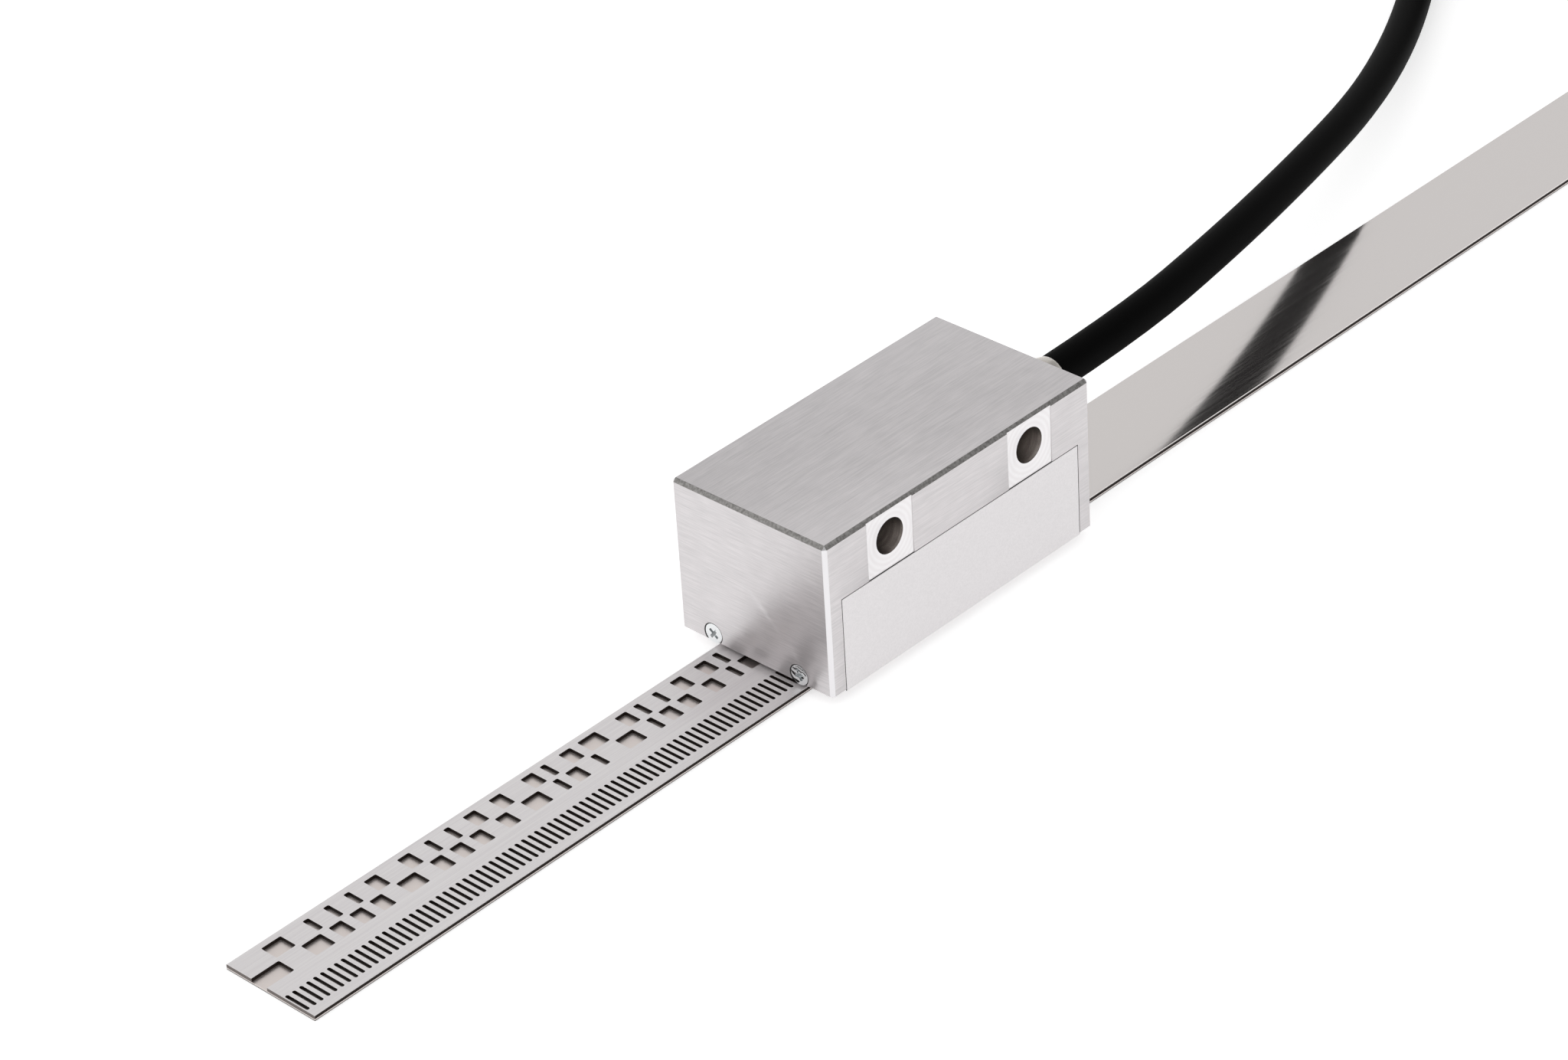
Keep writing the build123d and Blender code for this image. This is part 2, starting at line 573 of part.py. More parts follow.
# Crimped sleeve round the cable where it leaves the back wall, with a rounded nose
outlet = (HEAD_BACK, 0, CABLE_Z)
outlet_plane = axis_plane(outlet, (1, 0, 0))
outlet_axis = Axis(outlet, (1, 0, 0))
cable_bore = CABLE_DIAMETER / 2 + SLEEVE_CABLE_FIT
nose_rim = cable_bore + (SLEEVE_DIAMETER / 2 - cable_bore) / 4
with BuildPart() as cable_sleeve:
    with BuildSketch(outlet_plane):
        with BuildLine():
            Polyline(
                (cable_bore, SLEEVE_OUTSIDE),
                (cable_bore, -SLEEVE_INSIDE),
                (SLEEVE_DIAMETER / 2, -SLEEVE_INSIDE),
                (SLEEVE_DIAMETER / 2, SLEEVE_OUTSIDE - SLEEVE_NOSE),
            )
            TangentArc(
                (SLEEVE_DIAMETER / 2, SLEEVE_OUTSIDE - SLEEVE_NOSE),
                (nose_rim, SLEEVE_OUTSIDE),
                tangent=(0, 1),
            )
            Line((nose_rim, SLEEVE_OUTSIDE), (cable_bore, SLEEVE_OUTSIDE))
        make_face()
    revolve(axis=outlet_axis)
cable_sleeve.part.label = "cable_sleeve"
export_step(cable_sleeve.part, "parts/cable_sleeve.step")

# Seal ring in the groove of the bore
with BuildPart() as sleeve_seal:
    with BuildSketch(Plane(origin=(HEAD_BACK - SEAL_INSET, 0, CABLE_Z), z_dir=(1, 0, 0))):
        Circle(SEAL_DIAMETER / 2)
        Circle(SLEEVE_DIAMETER / 2, mode=Mode.SUBTRACT)
    extrude(amount=-SEAL_WIDTH)
sleeve_seal.part.label = "sleeve_seal"
export_step(sleeve_seal.part, "parts/sleeve_seal.step")

# Ferrule that grips the cable's screen at the end of its jacket
jacket_end = HEAD_BACK - SLEEVE_INSIDE + FERRULE_LENGTH
with BuildPart() as shield_ferrule:
    with BuildSketch(Plane(origin=(jacket_end, 0, CABLE_Z), z_dir=(1, 0, 0))):
        Circle(CABLE_DIAMETER / 2)
        Circle(WIRES_DIAMETER / 2 + SCREW_FIT, mode=Mode.SUBTRACT)
    extrude(amount=-FERRULE_LENGTH)
shield_ferrule.part.label = "shield_ferrule"
export_step(shield_ferrule.part, "parts/shield_ferrule.step")

# Wires from the cable down to their header
with BuildPart() as conductor_bundle:
    with BuildLine() as wire_route:
        FilletPolyline(
            (jacket_end, 0, CABLE_Z),
            (HEADER_X, 0, CABLE_Z),
            (HEADER_X, 0, BOARD_TOP + HEADER_HEIGHT),
            radius=WIRES_BEND,
        )
    with BuildSketch(Plane(origin=wire_route.line @ 0, z_dir=wire_route.line % 0)):
        Circle(WIRES_DIAMETER / 2)
    sweep(path=wire_route.line)
conductor_bundle.part.label = "conductor_bundle"
export_step(conductor_bundle.part, "parts/conductor_bundle.step")

# Cable from the sleeve to the hank, drooping to the bed as it bends to the left
cable_route = [
    (jacket_end, 0.0, CABLE_Z),
    (-17.5, 0.0, CABLE_Z),
    (8.0, 4.9, 12.9),
    (32.0, 11.4, 10.6),
    (55.0, 19.0, 7.7),
    (76.5, 28.9, 5.0),
    (96.5, 40.3, 3.3),
    (113.0, OUTER_PASS_Y, LAYER_1_Z),
    (HANK_START, OUTER_PASS_Y, LAYER_1_Z),
]
with BuildPart() as cable_run:
    with BuildLine() as run_line:
        FilletPolyline(*cable_route, radius=cord_radii(cable_route))
    run_path = run_line.wire()
    with BuildSketch(Plane(origin=run_path @ 0, z_dir=run_path % 0)):
        Circle(CABLE_DIAMETER / 2)
    sweep(path=run_path)
print_volume_share(cable_run, run_path)
cable_run.part.label = "cable_run"
export_step(cable_run.part, "parts/cable_run.step")

# Hank: the passes of cable lie two by two, as one long ring with rounded edges
with BuildPart() as cable_hank:
    with BuildSketch(Plane.XY.offset(TIE_THICKNESS)):
        with Locations((HANK_X, HANK_Y)):
            SlotCenterToCenter(HANK_STRAIGHT, 2 * HANK_FOLD + HANK_SECTION)
            SlotCenterToCenter(HANK_STRAIGHT, 2 * HANK_FOLD - HANK_SECTION, mode=Mode.SUBTRACT)
    extrude(amount=HANK_SECTION)
    hank_edges = cable_hank.edges().group_by(Axis.Z)
    fillet(hank_edges[0] + hank_edges[-1], HANK_CORNER)
cable_hank.part.label = "cable_hank"
export_step(cable_hank.part, "parts/cable_hank.step")

# Ties: one band round the middle of each long side of the hank
tie_section = HANK_SECTION + 2 * TIE_THICKNESS
with BuildPart() as hank_ties:
    for side in (-1, 1):
        tie_centre = (HANK_X - TIE_WIDTH / 2, HANK_Y + side * HANK_FOLD, tie_section / 2)
        with BuildSketch(Plane(origin=tie_centre, x_dir=(0, 1, 0), z_dir=(1, 0, 0))):
            RectangleRounded(tie_section, tie_section, HANK_CORNER + TIE_THICKNESS)
            RectangleRounded(HANK_SECTION, HANK_SECTION, HANK_CORNER, mode=Mode.SUBTRACT)
        extrude(amount=TIE_WIDTH)
hank_ties.part.label = "hank_ties"
export_step(hank_ties.part, "parts/hank_ties.step")

# Last stretch of cable, from the top of the hank straight on to the connector
tail_route = [
    (HANK_END, OUTER_PASS_Y, LAYER_2_Z),
    (HANK_END + TAIL_LENGTH / 3, OUTER_PASS_Y, LAYER_2_Z),
    (HANK_END + TAIL_LENGTH * 2 / 3, OUTER_PASS_Y - TAIL_SHIFT, RING_Z),
    (HANK_END + TAIL_LENGTH, OUTER_PASS_Y - TAIL_SHIFT, RING_Z),
]
with BuildPart() as cable_tail:
    with BuildLine() as tail_line:
        FilletPolyline(*tail_route, radius=cord_radii(tail_route))
    tail_path = tail_line.wire()
    with BuildSketch(Plane(origin=tail_path @ 0, z_dir=tail_path % 0)):
        Circle(CABLE_DIAMETER / 2)
    sweep(path=tail_path)
print_volume_share(cable_tail, tail_path)
cable_tail.part.label = "cable_tail"
export_step(cable_tail.part, "parts/cable_tail.step")

# Connector, turned about its own axis: distances run forwards from where the cable enters
connector_rear = tail_route[-1]
connector_plane = axis_plane(connector_rear, (1, 0, 0))
connector_axis = Axis(connector_rear, (1, 0, 0))
grip_front = RELIEF_LENGTH + GRIP_LENGTH
ring_rear = grip_front + RING_FIT
ring_front = ring_rear + RING_LENGTH
neck_front = grip_front + NECK_LENGTH
insert_front = neck_front + INSERT_LENGTH
rib_rear = ring_rear + NECK_LENGTH / 2
rib_groove = NECK_DIAMETER / 2 - RIB_DEPTH


def across(distance):
    """Plane across the connector, a distance in front of where the cable enters."""
    origin = Vector(*connector_rear) + Vector(distance, 0, 0)
    return Plane(origin=origin, x_dir=(0, 0, 1), z_dir=(1, 0, 0))


# Moulded body: ribbed strain relief, fluted grip, and a neck with a groove that keeps the ring on
relief_step = RELIEF_LENGTH / (RELIEF_GROOVES + 1)
with BuildPart() as connector_body:
    with BuildSketch(connector_plane):
        with BuildLine():
            Polyline(
                (0, 0),
                (RELIEF_REAR_DIAMETER / 2, 0),
                (RELIEF_FRONT_DIAMETER / 2, RELIEF_LENGTH),
                (GRIP_DIAMETER / 2, RELIEF_LENGTH),
                (GRIP_DIAMETER / 2, grip_front),
                (NECK_DIAMETER / 2, grip_front),
                (NECK_DIAMETER / 2, rib_rear - RING_FIT),
                (rib_groove, rib_rear - RING_FIT),
                (rib_groove, rib_rear + RIB_LENGTH + RING_FIT),
                (NECK_DIAMETER / 2, rib_rear + RIB_LENGTH + RING_FIT),
                (NECK_DIAMETER / 2, neck_front),
                (0, neck_front),
                close=True,
            )
        make_face()
    revolve(axis=connector_axis)
    for number in range(RELIEF_GROOVES):
        with BuildSketch(across(relief_step * (number + 1))):
            Circle(RELIEF_FRONT_DIAMETER)
            Circle(CABLE_DIAMETER / 2 + RIB_DEPTH, mode=Mode.SUBTRACT)
        extrude(amount=-RELIEF_GROOVE, mode=Mode.SUBTRACT)
    with BuildSketch(across(RELIEF_LENGTH)):
        with PolarLocations(GRIP_DIAMETER / 2, GRIP_FLUTES):
            Rectangle(GRIP_FLUTE, GRIP_FLUTE, rotation=45)
    extrude(amount=GRIP_LENGTH, mode=Mode.SUBTRACT)
    with BuildSketch(across(neck_front)):
        Circle(INSERT_SPIGOT_DIAMETER / 2 + SCREW_FIT)
    extrude(amount=-INSERT_SPIGOT_LENGTH, mode=Mode.SUBTRACT)
connector_body.part.label = "connector_body"
export_step(connector_body.part, "parts/connector_body.step")

# Contact carrier with its coding key
pin_angles = [math.tau * (number + 0.5) / PIN_COUNT for number in range(PIN_COUNT)]
pin_places = [
    (PIN_CIRCLE / 2 * math.cos(angle), PIN_CIRCLE / 2 * math.sin(angle))
    for angle in pin_angles
]
pin_places.append((0, 0))
with BuildPart() as connector_insert:
    with BuildSketch(across(neck_front)):
        Circle(INSERT_DIAMETER / 2)
        with Locations((INSERT_DIAMETER / 2, 0)):
            Rectangle(2 * KEY_HEIGHT, KEY_WIDTH)
    extrude(amount=INSERT_LENGTH)
    with BuildSketch(across(neck_front)):
        Circle(INSERT_SPIGOT_DIAMETER / 2)
    extrude(amount=-INSERT_SPIGOT_LENGTH)
    with BuildSketch(across(insert_front)):
        with Locations(*pin_places):
            Circle(PIN_DIAMETER / 2 + PIN_FIT)
    extrude(amount=-PIN_SEAT, mode=Mode.SUBTRACT)
connector_insert.part.label = "connector_insert"
export_step(connector_insert.part, "parts/connector_insert.step")

# Contact pins
with BuildPart() as contact_pins:
    with BuildSketch(across(insert_front - PIN_SEAT)):
        with Locations(*pin_places):
            Circle(PIN_DIAMETER / 2)
    extrude(amount=PIN_SEAT + PIN_REACH)
contact_pins.part.label = "contact_pins"
export_step(contact_pins.part, "parts/contact_pins.step")

# Knurled screw ring with its threaded sleeve, held by a rib in the neck's groove
with BuildPart() as coupling_ring:
    with BuildSketch(across(ring_rear)):
        Circle(RING_DIAMETER / 2)
        with PolarLocations(RING_DIAMETER / 2, RING_NOTCHES):
            Rectangle(RING_NOTCH, RING_NOTCH, rotation=45, mode=Mode.SUBTRACT)
    extrude(amount=RING_LENGTH)
    with BuildSketch(across(ring_front)):
        Circle(THREAD_DIAMETER / 2)
    extrude(amount=THREAD_LENGTH)
    with BuildSketch(across(ring_rear)):
        Circle(NECK_DIAMETER / 2 + RING_FIT)
    extrude(amount=RING_LENGTH + THREAD_LENGTH, mode=Mode.SUBTRACT)
    with BuildSketch(across(rib_rear)):
        Circle(NECK_DIAMETER / 2 + 2 * RING_FIT)
        Circle(rib_groove + RING_FIT, mode=Mode.SUBTRACT)
    extrude(amount=RIB_LENGTH)
coupling_ring.part.label = "coupling_ring"
export_step(coupling_ring.part, "parts/coupling_ring.step")
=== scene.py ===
import math

import bpy
from mathutils import Matrix, Vector


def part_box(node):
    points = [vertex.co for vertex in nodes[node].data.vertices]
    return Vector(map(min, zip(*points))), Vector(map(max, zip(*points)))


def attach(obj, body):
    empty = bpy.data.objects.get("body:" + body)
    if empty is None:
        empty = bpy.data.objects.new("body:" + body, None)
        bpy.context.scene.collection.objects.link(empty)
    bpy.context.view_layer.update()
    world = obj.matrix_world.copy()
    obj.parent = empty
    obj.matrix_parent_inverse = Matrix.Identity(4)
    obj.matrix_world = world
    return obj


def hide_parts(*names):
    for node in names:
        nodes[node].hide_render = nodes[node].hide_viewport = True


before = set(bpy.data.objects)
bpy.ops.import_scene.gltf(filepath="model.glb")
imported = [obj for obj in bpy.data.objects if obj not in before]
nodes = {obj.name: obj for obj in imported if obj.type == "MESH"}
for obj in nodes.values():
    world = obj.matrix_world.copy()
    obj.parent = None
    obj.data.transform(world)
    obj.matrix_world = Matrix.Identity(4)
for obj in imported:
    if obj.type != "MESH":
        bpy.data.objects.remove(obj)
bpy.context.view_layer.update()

# Sizes are in metres, in the part's own frame, or in millimetres times MM, unless a comment says otherwise
MM = 0.001
# Edges whose faces turn by more than this are broken, and the others are shaded smooth
SHARP_ANGLE = math.radians(30)
# IOR of every finish that isn't metal
COATING_IOR = 1.5

# Places that the pieces share
HEAD_LOW, HEAD_HIGH = (Vector(corner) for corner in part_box("housing"))
HEAD_X = (HEAD_LOW.x + HEAD_HIGH.x) / 2
TAPE_LOW = Vector(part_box("graduated_strip")[0])
SCREW_Y = 6.725 * MM
SCREW_Z = HEAD_LOW.z + 1.4 * MM
SCREW_RADIUS = 1.35 * MM
SHANK_RADIUS = 0.8 * MM
SINK_RADIUS = 1.44 * MM
SINK_DEPTH = 0.62 * MM
HOLE_RADIUS = 2.25 * MM
HOLE_SPACING = 24.2 * MM
HOLE_Z = HEAD_HIGH.z - 3.9 * MM
PAD_WIDTH = 7.7 * MM
PAD_DEPTH = 0.1 * MM
CHAMFER = 0.45 * MM
FOOT_CHAMFER = 0.2 * MM
LABEL_TOP = HEAD_LOW.z + 12.65 * MM
CABLE_Z = HEAD_LOW.z + 13.4 * MM
CABLE_RADIUS = 2.4 * MM
SLEEVE_RADIUS = 2.9 * MM
SLEEVE_BORE = 2.43 * MM
SLEEVE_INNER_END = -3.8 * MM

# Hollows of the head: walls and depths measured in from its faces, heights up from its foot
LABEL_HALF_LENGTH = 20.6 * MM
LABEL_DEPTH = 0.1 * MM
LABEL_MARGIN = 0.1 * MM
TRAY_END_WALL = 2.6 * MM
TRAY_SIDE_WALL = 1.9 * MM
TRAY_HEIGHT = 3.2 * MM
CAVITY_END_WALL = 4.1 * MM
CAVITY_SIDE_WALL = 3.4 * MM
CAVITY_BOTTOM = 3 * MM
CAVITY_TOP = 12.4 * MM
SCREW_HOLE_RADIUS = 0.82 * MM
SCREW_HOLE_DEPTH = 2.8 * MM
CABLE_BORE_RADIUS = 2.92 * MM
CABLE_BORE_DEPTH = 7.6 * MM

# Camera solved from the tape's millimetre slots and the head's edges
CAMERA_PLACE = Vector((-413.5, -333.5, 325.6)) * MM
CAMERA_FORWARD = Vector((0.5933, 0.5903, -0.5473)).normalized()
CAMERA_RIGHT = Vector((0.6790, -0.7322, -0.0538))
CAMERA_LENS = 114.03


# Shared modelling and material helpers

def clear_selection():
    """Deselects everything, so that an operator only acts on what is added next."""
    if bpy.context.object and bpy.context.object.mode != "OBJECT":
        bpy.ops.object.mode_set(mode="OBJECT")
    bpy.ops.object.select_all(action="DESELECT")


def make_active(piece):
    """Selects one piece and makes it the one that operators act on."""
    clear_selection()
    piece.select_set(True)
    bpy.context.view_layer.objects.active = piece


def settle(piece):
    """Puts a piece's place, turn and scale into its mesh."""
    make_active(piece)
    bpy.ops.object.transform_apply(location=True, rotation=True, scale=True)


def block(name, low, high):
    """Box between two corners."""
    clear_selection()
    low, high = Vector(low), Vector(high)
    bpy.ops.mesh.primitive_cube_add(size=1, location=(low + high) / 2, scale=high - low)
    piece = bpy.context.object
    piece.name = name
    settle(piece)
    return piece


def rod(name, radius, start, end, sides=64):
    """Round bar between two points."""
    clear_selection()
    start, end = Vector(start), Vector(end)
    along = end - start
    bpy.ops.mesh.primitive_cylinder_add(
        vertices=sides,
        radius=radius,
        depth=along.length,
        location=(start + end) / 2,
        rotation=along.to_track_quat("Z", "Y").to_euler(),
    )
    piece = bpy.context.object
    piece.name = name
    settle(piece)
    return piece


def cut(piece, *tools):
    """Takes the tools' shapes out of a piece and removes the tools."""
    for tool in tools:
        make_active(piece)
        boolean = piece.modifiers.new("cut", "BOOLEAN")
        boolean.operation = "DIFFERENCE"
        boolean.solver = "EXACT"
        boolean.object = tool
        bpy.ops.object.modifier_apply(modifier=boolean.name)
        bpy.data.objects.remove(tool)


def runs_along_x(a, b):
    """Whether the edge between two corners runs along X."""
    return abs(a.x - b.x) > 1 * MM


def bevel_edges(piece, wanted, width, segments=1):
    """Bevels the edges whose two ends the test accepts."""
    make_active(piece)
    for edge in piece.data.edges:
        ends = [piece.data.vertices[number].co for number in edge.vertices]
        edge.select = wanted(*ends)
    for face in piece.data.polygons:
        face.select = False
    for vertex in piece.data.vertices:
        vertex.select = False
    for edge in piece.data.edges:
        if edge.select:
            for number in edge.vertices:
                piece.data.vertices[number].select = True
    bpy.ops.object.mode_set(mode="EDIT")
    bpy.ops.mesh.select_mode(type="EDGE")
    bpy.ops.mesh.bevel(offset=width, segments=segments, affect="EDGES")
    bpy.ops.object.mode_set(mode="OBJECT")


def soften(piece, width, segments=2):
    """Breaks a piece's sharp edges and smooths its round faces."""
    make_active(piece)
    rounding = piece.modifiers.new("broken edges", "BEVEL")
    rounding.width = width
    rounding.segments = segments
    rounding.limit_method = "ANGLE"
    rounding.angle_limit = SHARP_ANGLE
    bpy.ops.object.modifier_apply(modifier=rounding.name)
    bpy.ops.object.shade_smooth_by_angle(angle=SHARP_ANGLE)


def turned(name, centre, stations, sides=64, tube=False):
    """Piece turned about a line along X through centre: (distance along X, radius) at each station.
    A tube's last station is its first one again, and its bore is left open."""
    clear_selection()
    (first, radius), rest = stations[0], stations[1:]
    centre = Vector(centre)
    bpy.ops.mesh.primitive_circle_add(
        vertices=sides,
        radius=radius,
        fill_type="NGON",
        location=centre + Vector((first, 0, 0)),
        rotation=(0, math.pi / 2, 0),
    )
    piece = bpy.context.object
    piece.name = name
    settle(piece)
    bpy.ops.object.mode_set(mode="EDIT")
    bpy.ops.mesh.select_mode(type="FACE")
    bpy.ops.mesh.select_all(action="SELECT")
    here = first
    for distance, wanted in rest:
        bpy.ops.mesh.extrude_region_move(TRANSFORM_OT_translate={"value": (distance - here, 0, 0)})
        share = wanted / radius
        bpy.ops.transform.resize(
            value=(1, share, share),
            center_override=centre + Vector((distance, 0, 0)),
        )
        here = distance
        radius = wanted
    if tube:
        # The two caps go, and the first and last rings become one
        bpy.ops.mesh.select_all(action="DESELECT")
        bpy.ops.mesh.select_face_by_sides(number=sides, type="EQUAL", extend=False)
        bpy.ops.mesh.delete(type="ONLY_FACE")
        bpy.ops.mesh.select_all(action="SELECT")
        bpy.ops.mesh.remove_doubles(threshold=0.001 * MM)
    bpy.ops.mesh.select_all(action="SELECT")
    bpy.ops.mesh.normals_make_consistent(inside=False)
    bpy.ops.object.mode_set(mode="OBJECT")
    bpy.ops.object.shade_smooth_by_angle(angle=SHARP_ANGLE)
    return piece


def join(name, pieces):
    """Joins pieces into one object."""
    clear_selection()
    for piece in pieces:
        piece.select_set(True)
    bpy.context.view_layer.objects.active = pieces[0]
    bpy.ops.object.join()
    pieces[0].name = name
    return pieces[0]


def linear(hex_colour):
    """Linear colour of an sRGB hex value."""
    channels = [int(hex_colour[place:place + 2], 16) / 255 for place in (1, 3, 5)]
    curve = [c / 12.92 if c <= 0.04045 else ((c + 0.055) / 1.055) ** 2.4 for c in channels]
    return (*curve, 1.0)


def add_node(tree, kind, inputs=(), **settings):
    """Adds a node with its settings. Each input is (socket, value), or (socket, a socket to link from)."""
    node = tree.nodes.new(kind)
    for setting, value in settings.items():
        setattr(node, setting, value)
    for socket, value in inputs:
        if isinstance(value, bpy.types.NodeSocket):
            tree.links.new(value, node.inputs[socket])
        else:
            node.inputs[socket].default_value = value
    return node


def plain(name, colour, roughness, metallic=0.0):
    """Material of one colour. Returns it, its tree and its shader, to add a surface pattern to."""
    material = bpy.data.materials.new(name)
    material.use_nodes = True
    tree = material.node_tree
    shader = tree.nodes["Principled BSDF"]
    shader.inputs["Base Color"].default_value = linear(colour)
    shader.inputs["Roughness"].default_value = roughness
    shader.inputs["Metallic"].default_value = metallic
    if not metallic:
        shader.inputs["IOR"].default_value = COATING_IOR
    return material, tree, shader


def grain(tree, scale, detail=3.0):
    """Noise on object coordinates with so many grains per metre along X, Y and Z."""
    place = add_node(tree, "ShaderNodeTexCoord").outputs["Object"]
    stretched = add_node(tree, "ShaderNodeMapping", [("Vector", place), ("Scale", scale)])
    noise = add_node(
        tree,
        "ShaderNodeTexNoise",
        [("Vector", stretched.outputs["Vector"]), ("Scale", 1.0), ("Detail", detail)],
    )
    return noise.outputs["Fac"]


def spread(tree, factor, low, high):
    """Turns a noise's middle values, from 0.3 to 0.7, into a range."""
    ranged = add_node(
        tree,
        "ShaderNodeMapRange",
        [("Value", factor), ("From Min", 0.3), ("From Max", 0.7), ("To Min", low), ("To Max", high)],
    )
    return ranged.outputs["Result"]


def mix_values(tree, factor, first, second):
    """Blend of two values by a share, which is a number or a socket."""
    mix = add_node(tree, "ShaderNodeMix", [("Factor", factor)], data_type="FLOAT")
    tree.links.new(first, mix.inputs["A"])
    tree.links.new(second, mix.inputs["B"])
    return mix.outputs["Result"]


def tint(tree, factor, dark, light):
    """Colour between two hex values."""
    mix = add_node(tree, "ShaderNodeMix", data_type="RGBA")
    tree.links.new(factor, mix.inputs["Factor"])
    mix.inputs["A"].default_value = linear(dark)
    mix.inputs["B"].default_value = linear(light)
    return mix.outputs["Result"]


def relief(tree, shader, height, depth):
    """Surface relief of a depth in metres."""
    bump = add_node(tree, "ShaderNodeBump", [("Height", height), ("Distance", depth), ("Strength", 1.0)])
    tree.links.new(bump.outputs["Normal"], shader.inputs["Normal"])


# Finishes

def ground_aluminium():
    """Milled and ground aluminium with a thin satin nickel plate: fine lines along X on the top and the
    sides and across on the ends, and faint cloudy patches that the grinding wheel left."""
    material, tree, shader = plain("ground_aluminium", "#CFCCCC", 0.36, metallic=1.0)
    # Grinding lines about 0.15 mm apart and 4 mm long, drawn coarser than the real 0.05 mm
    along = grain(tree, (250, 6500, 6500))
    across = grain(tree, (6500, 250, 6500))
    normal = add_node(tree, "ShaderNodeNewGeometry").outputs["Normal"]
    parts = add_node(tree, "ShaderNodeSeparateXYZ", [("Vector", normal)])
    end_share = add_node(tree, "ShaderNodeMath", [(0, parts.outputs["X"])], operation="ABSOLUTE")
    lines = mix_values(tree, end_share.outputs[0], along, across)
    # Patches about 2.5 mm across
    patches = grain(tree, (400, 400, 400), detail=4.0)
    pattern = mix_values(tree, 0.2, lines, patches)
    tree.links.new(tint(tree, spread(tree, pattern, 0, 1), "#C4C1C2", "#DAD6D7"), shader.inputs["Base Color"])
    tree.links.new(spread(tree, lines, 0.31, 0.39), shader.inputs["Roughness"])
    relief(tree, shader, lines, 0.0015 * MM)
    return material


def bright_milling():
    """Freshly milled aluminium with the cutter's fine arcs, brighter than the ground faces."""
    material, tree, shader = plain("bright_milling", "#E2E0E1", 0.36, metallic=1.0)
    place = add_node(tree, "ShaderNodeTexCoord").outputs["Object"]
    # Each pad's own place, folded so that both holes share one centre
    folded = add_node(
        tree,
        "ShaderNodeVectorMath",
        [(0, place), (1, (-HEAD_X, 0, -HOLE_Z))],
        operation="ADD",
    )
    mirrored = add_node(tree, "ShaderNodeVectorMath", [(0, folded.outputs[0])], operation="ABSOLUTE")
    centred = add_node(
        tree,
        "ShaderNodeVectorMath",
        [(0, mirrored.outputs[0]), (1, (-HOLE_SPACING / 2, 0, 0))],
        operation="ADD",
    )
    # Tool rings 0.7 mm apart round each hole, coarser than the real ones so that they show
    rings = add_node(
        tree,
        "ShaderNodeTexWave",
        [("Vector", centred.outputs[0]), ("Scale", 450.0), ("Distortion", 0.8), ("Detail", 2.0)],
        wave_type="RINGS",
        rings_direction="Y",
    )
    tree.links.new(
        tint(tree, rings.outputs["Fac"], "#E6E3E4", "#ECEAEB"),
        shader.inputs["Base Color"],
    )
    return material


def painted_shade_chamfer():
    """Long top chamfers painted a dark grey band, as painted shade for the dark reflection they show, with
    bright specks of bare metal.
    """
    material, tree, shader = plain("painted_shade_chamfer", "#8F8D8C", 0.42, metallic=1.0)
    # Specks about 0.3 mm across
    specks = grain(tree, (3300, 3300, 3300))
    tree.links.new(tint(tree, spread(tree, specks, 0, 1), "#777573", "#A5A3A1"), shader.inputs["Base Color"])
    relief(tree, shader, specks, 0.02 * MM)
    return material


def drilled_bore():
    """Drilled aluminium inside the cross holes: half bright, with streaks that the drill left round it."""
    material, tree, shader = plain("drilled_bore", "#BDB8B5", 0.26, metallic=1.0)
    # Streaks about 0.4 mm apart along the hole
    streaks = grain(tree, (300, 2500, 300), detail=2.0)
    tree.links.new(tint(tree, spread(tree, streaks, 0, 1), "#ABA6A3", "#CFCAC7"), shader.inputs["Base Color"])
    return material


def satin_foil():
    """Matt aluminium foil: evenly pale, with a faint speckle."""
    material, tree, shader = plain("satin_foil", "#F0EEF0", 0.5, metallic=0.55)
    # Speckle about 0.2 mm across
    speckle = grain(tree, (5000, 5000, 5000), detail=1.0)
    tree.links.new(tint(tree, spread(tree, speckle, 0, 1), "#EFECED", "#F5F2F3"), shader.inputs["Base Color"])
    return material


def slotted_steel():
    """Satin stainless strip. The top is softly bright, with rolling marks along it. The slots' walls and
    the long edges are painted near black as the shade that falls in the slots and under the strip's edge,
    and the sheared near end, out of that shade, is painted a dull grey."""
    material, tree, shader = plain("slotted_steel", "#EBE8E8", 0.36, metallic=0.5)
    # Rolling marks about 0.2 mm apart
    rolled = grain(tree, (60, 5000, 5000))
    satin = tint(tree, spread(tree, rolled, 0, 1), "#E6E2E3", "#F0EDED")
    place = add_node(tree, "ShaderNodeTexCoord").outputs["Object"]
    along = add_node(tree, "ShaderNodeSeparateXYZ", [("Vector", place)]).outputs["X"]
    near_end = add_node(
        tree,
        "ShaderNodeMath",
        [(0, along), (1, TAPE_LOW.x + 0.05 * MM)],
        operation="LESS_THAN",
    )
    # Painted shade: faces that don't face up are painted near black, and the near end face a dull grey
    painted_shade_walls = tint(tree, near_end.outputs[0], "#2A2320", "#857D7A")
    normal = add_node(tree, "ShaderNodeNewGeometry").outputs["Normal"]
    parts = add_node(tree, "ShaderNodeSeparateXYZ", [("Vector", normal)])
    facing_up = add_node(
        tree,
        "ShaderNodeMath",
        [(0, parts.outputs["Z"]), (1, 0.35)],
        operation="GREATER_THAN",
    )
    mix = add_node(tree, "ShaderNodeMix", data_type="RGBA")
    tree.links.new(facing_up.outputs[0], mix.inputs["Factor"])
    tree.links.new(painted_shade_walls, mix.inputs["A"])
    tree.links.new(satin, mix.inputs["B"])
    tree.links.new(mix.outputs["Result"], shader.inputs["Base Color"])
    # The walls hardly shine, and the strip's specular level is low, so that their painted shade stays dark
    shine = add_node(tree, "ShaderNodeMath", [(0, facing_up.outputs[0]), (1, 0.5)], operation="MULTIPLY")
    tree.links.new(shine.outputs[0], shader.inputs["Metallic"])
    shader.inputs["Specular IOR Level"].default_value = 0.05
    return material


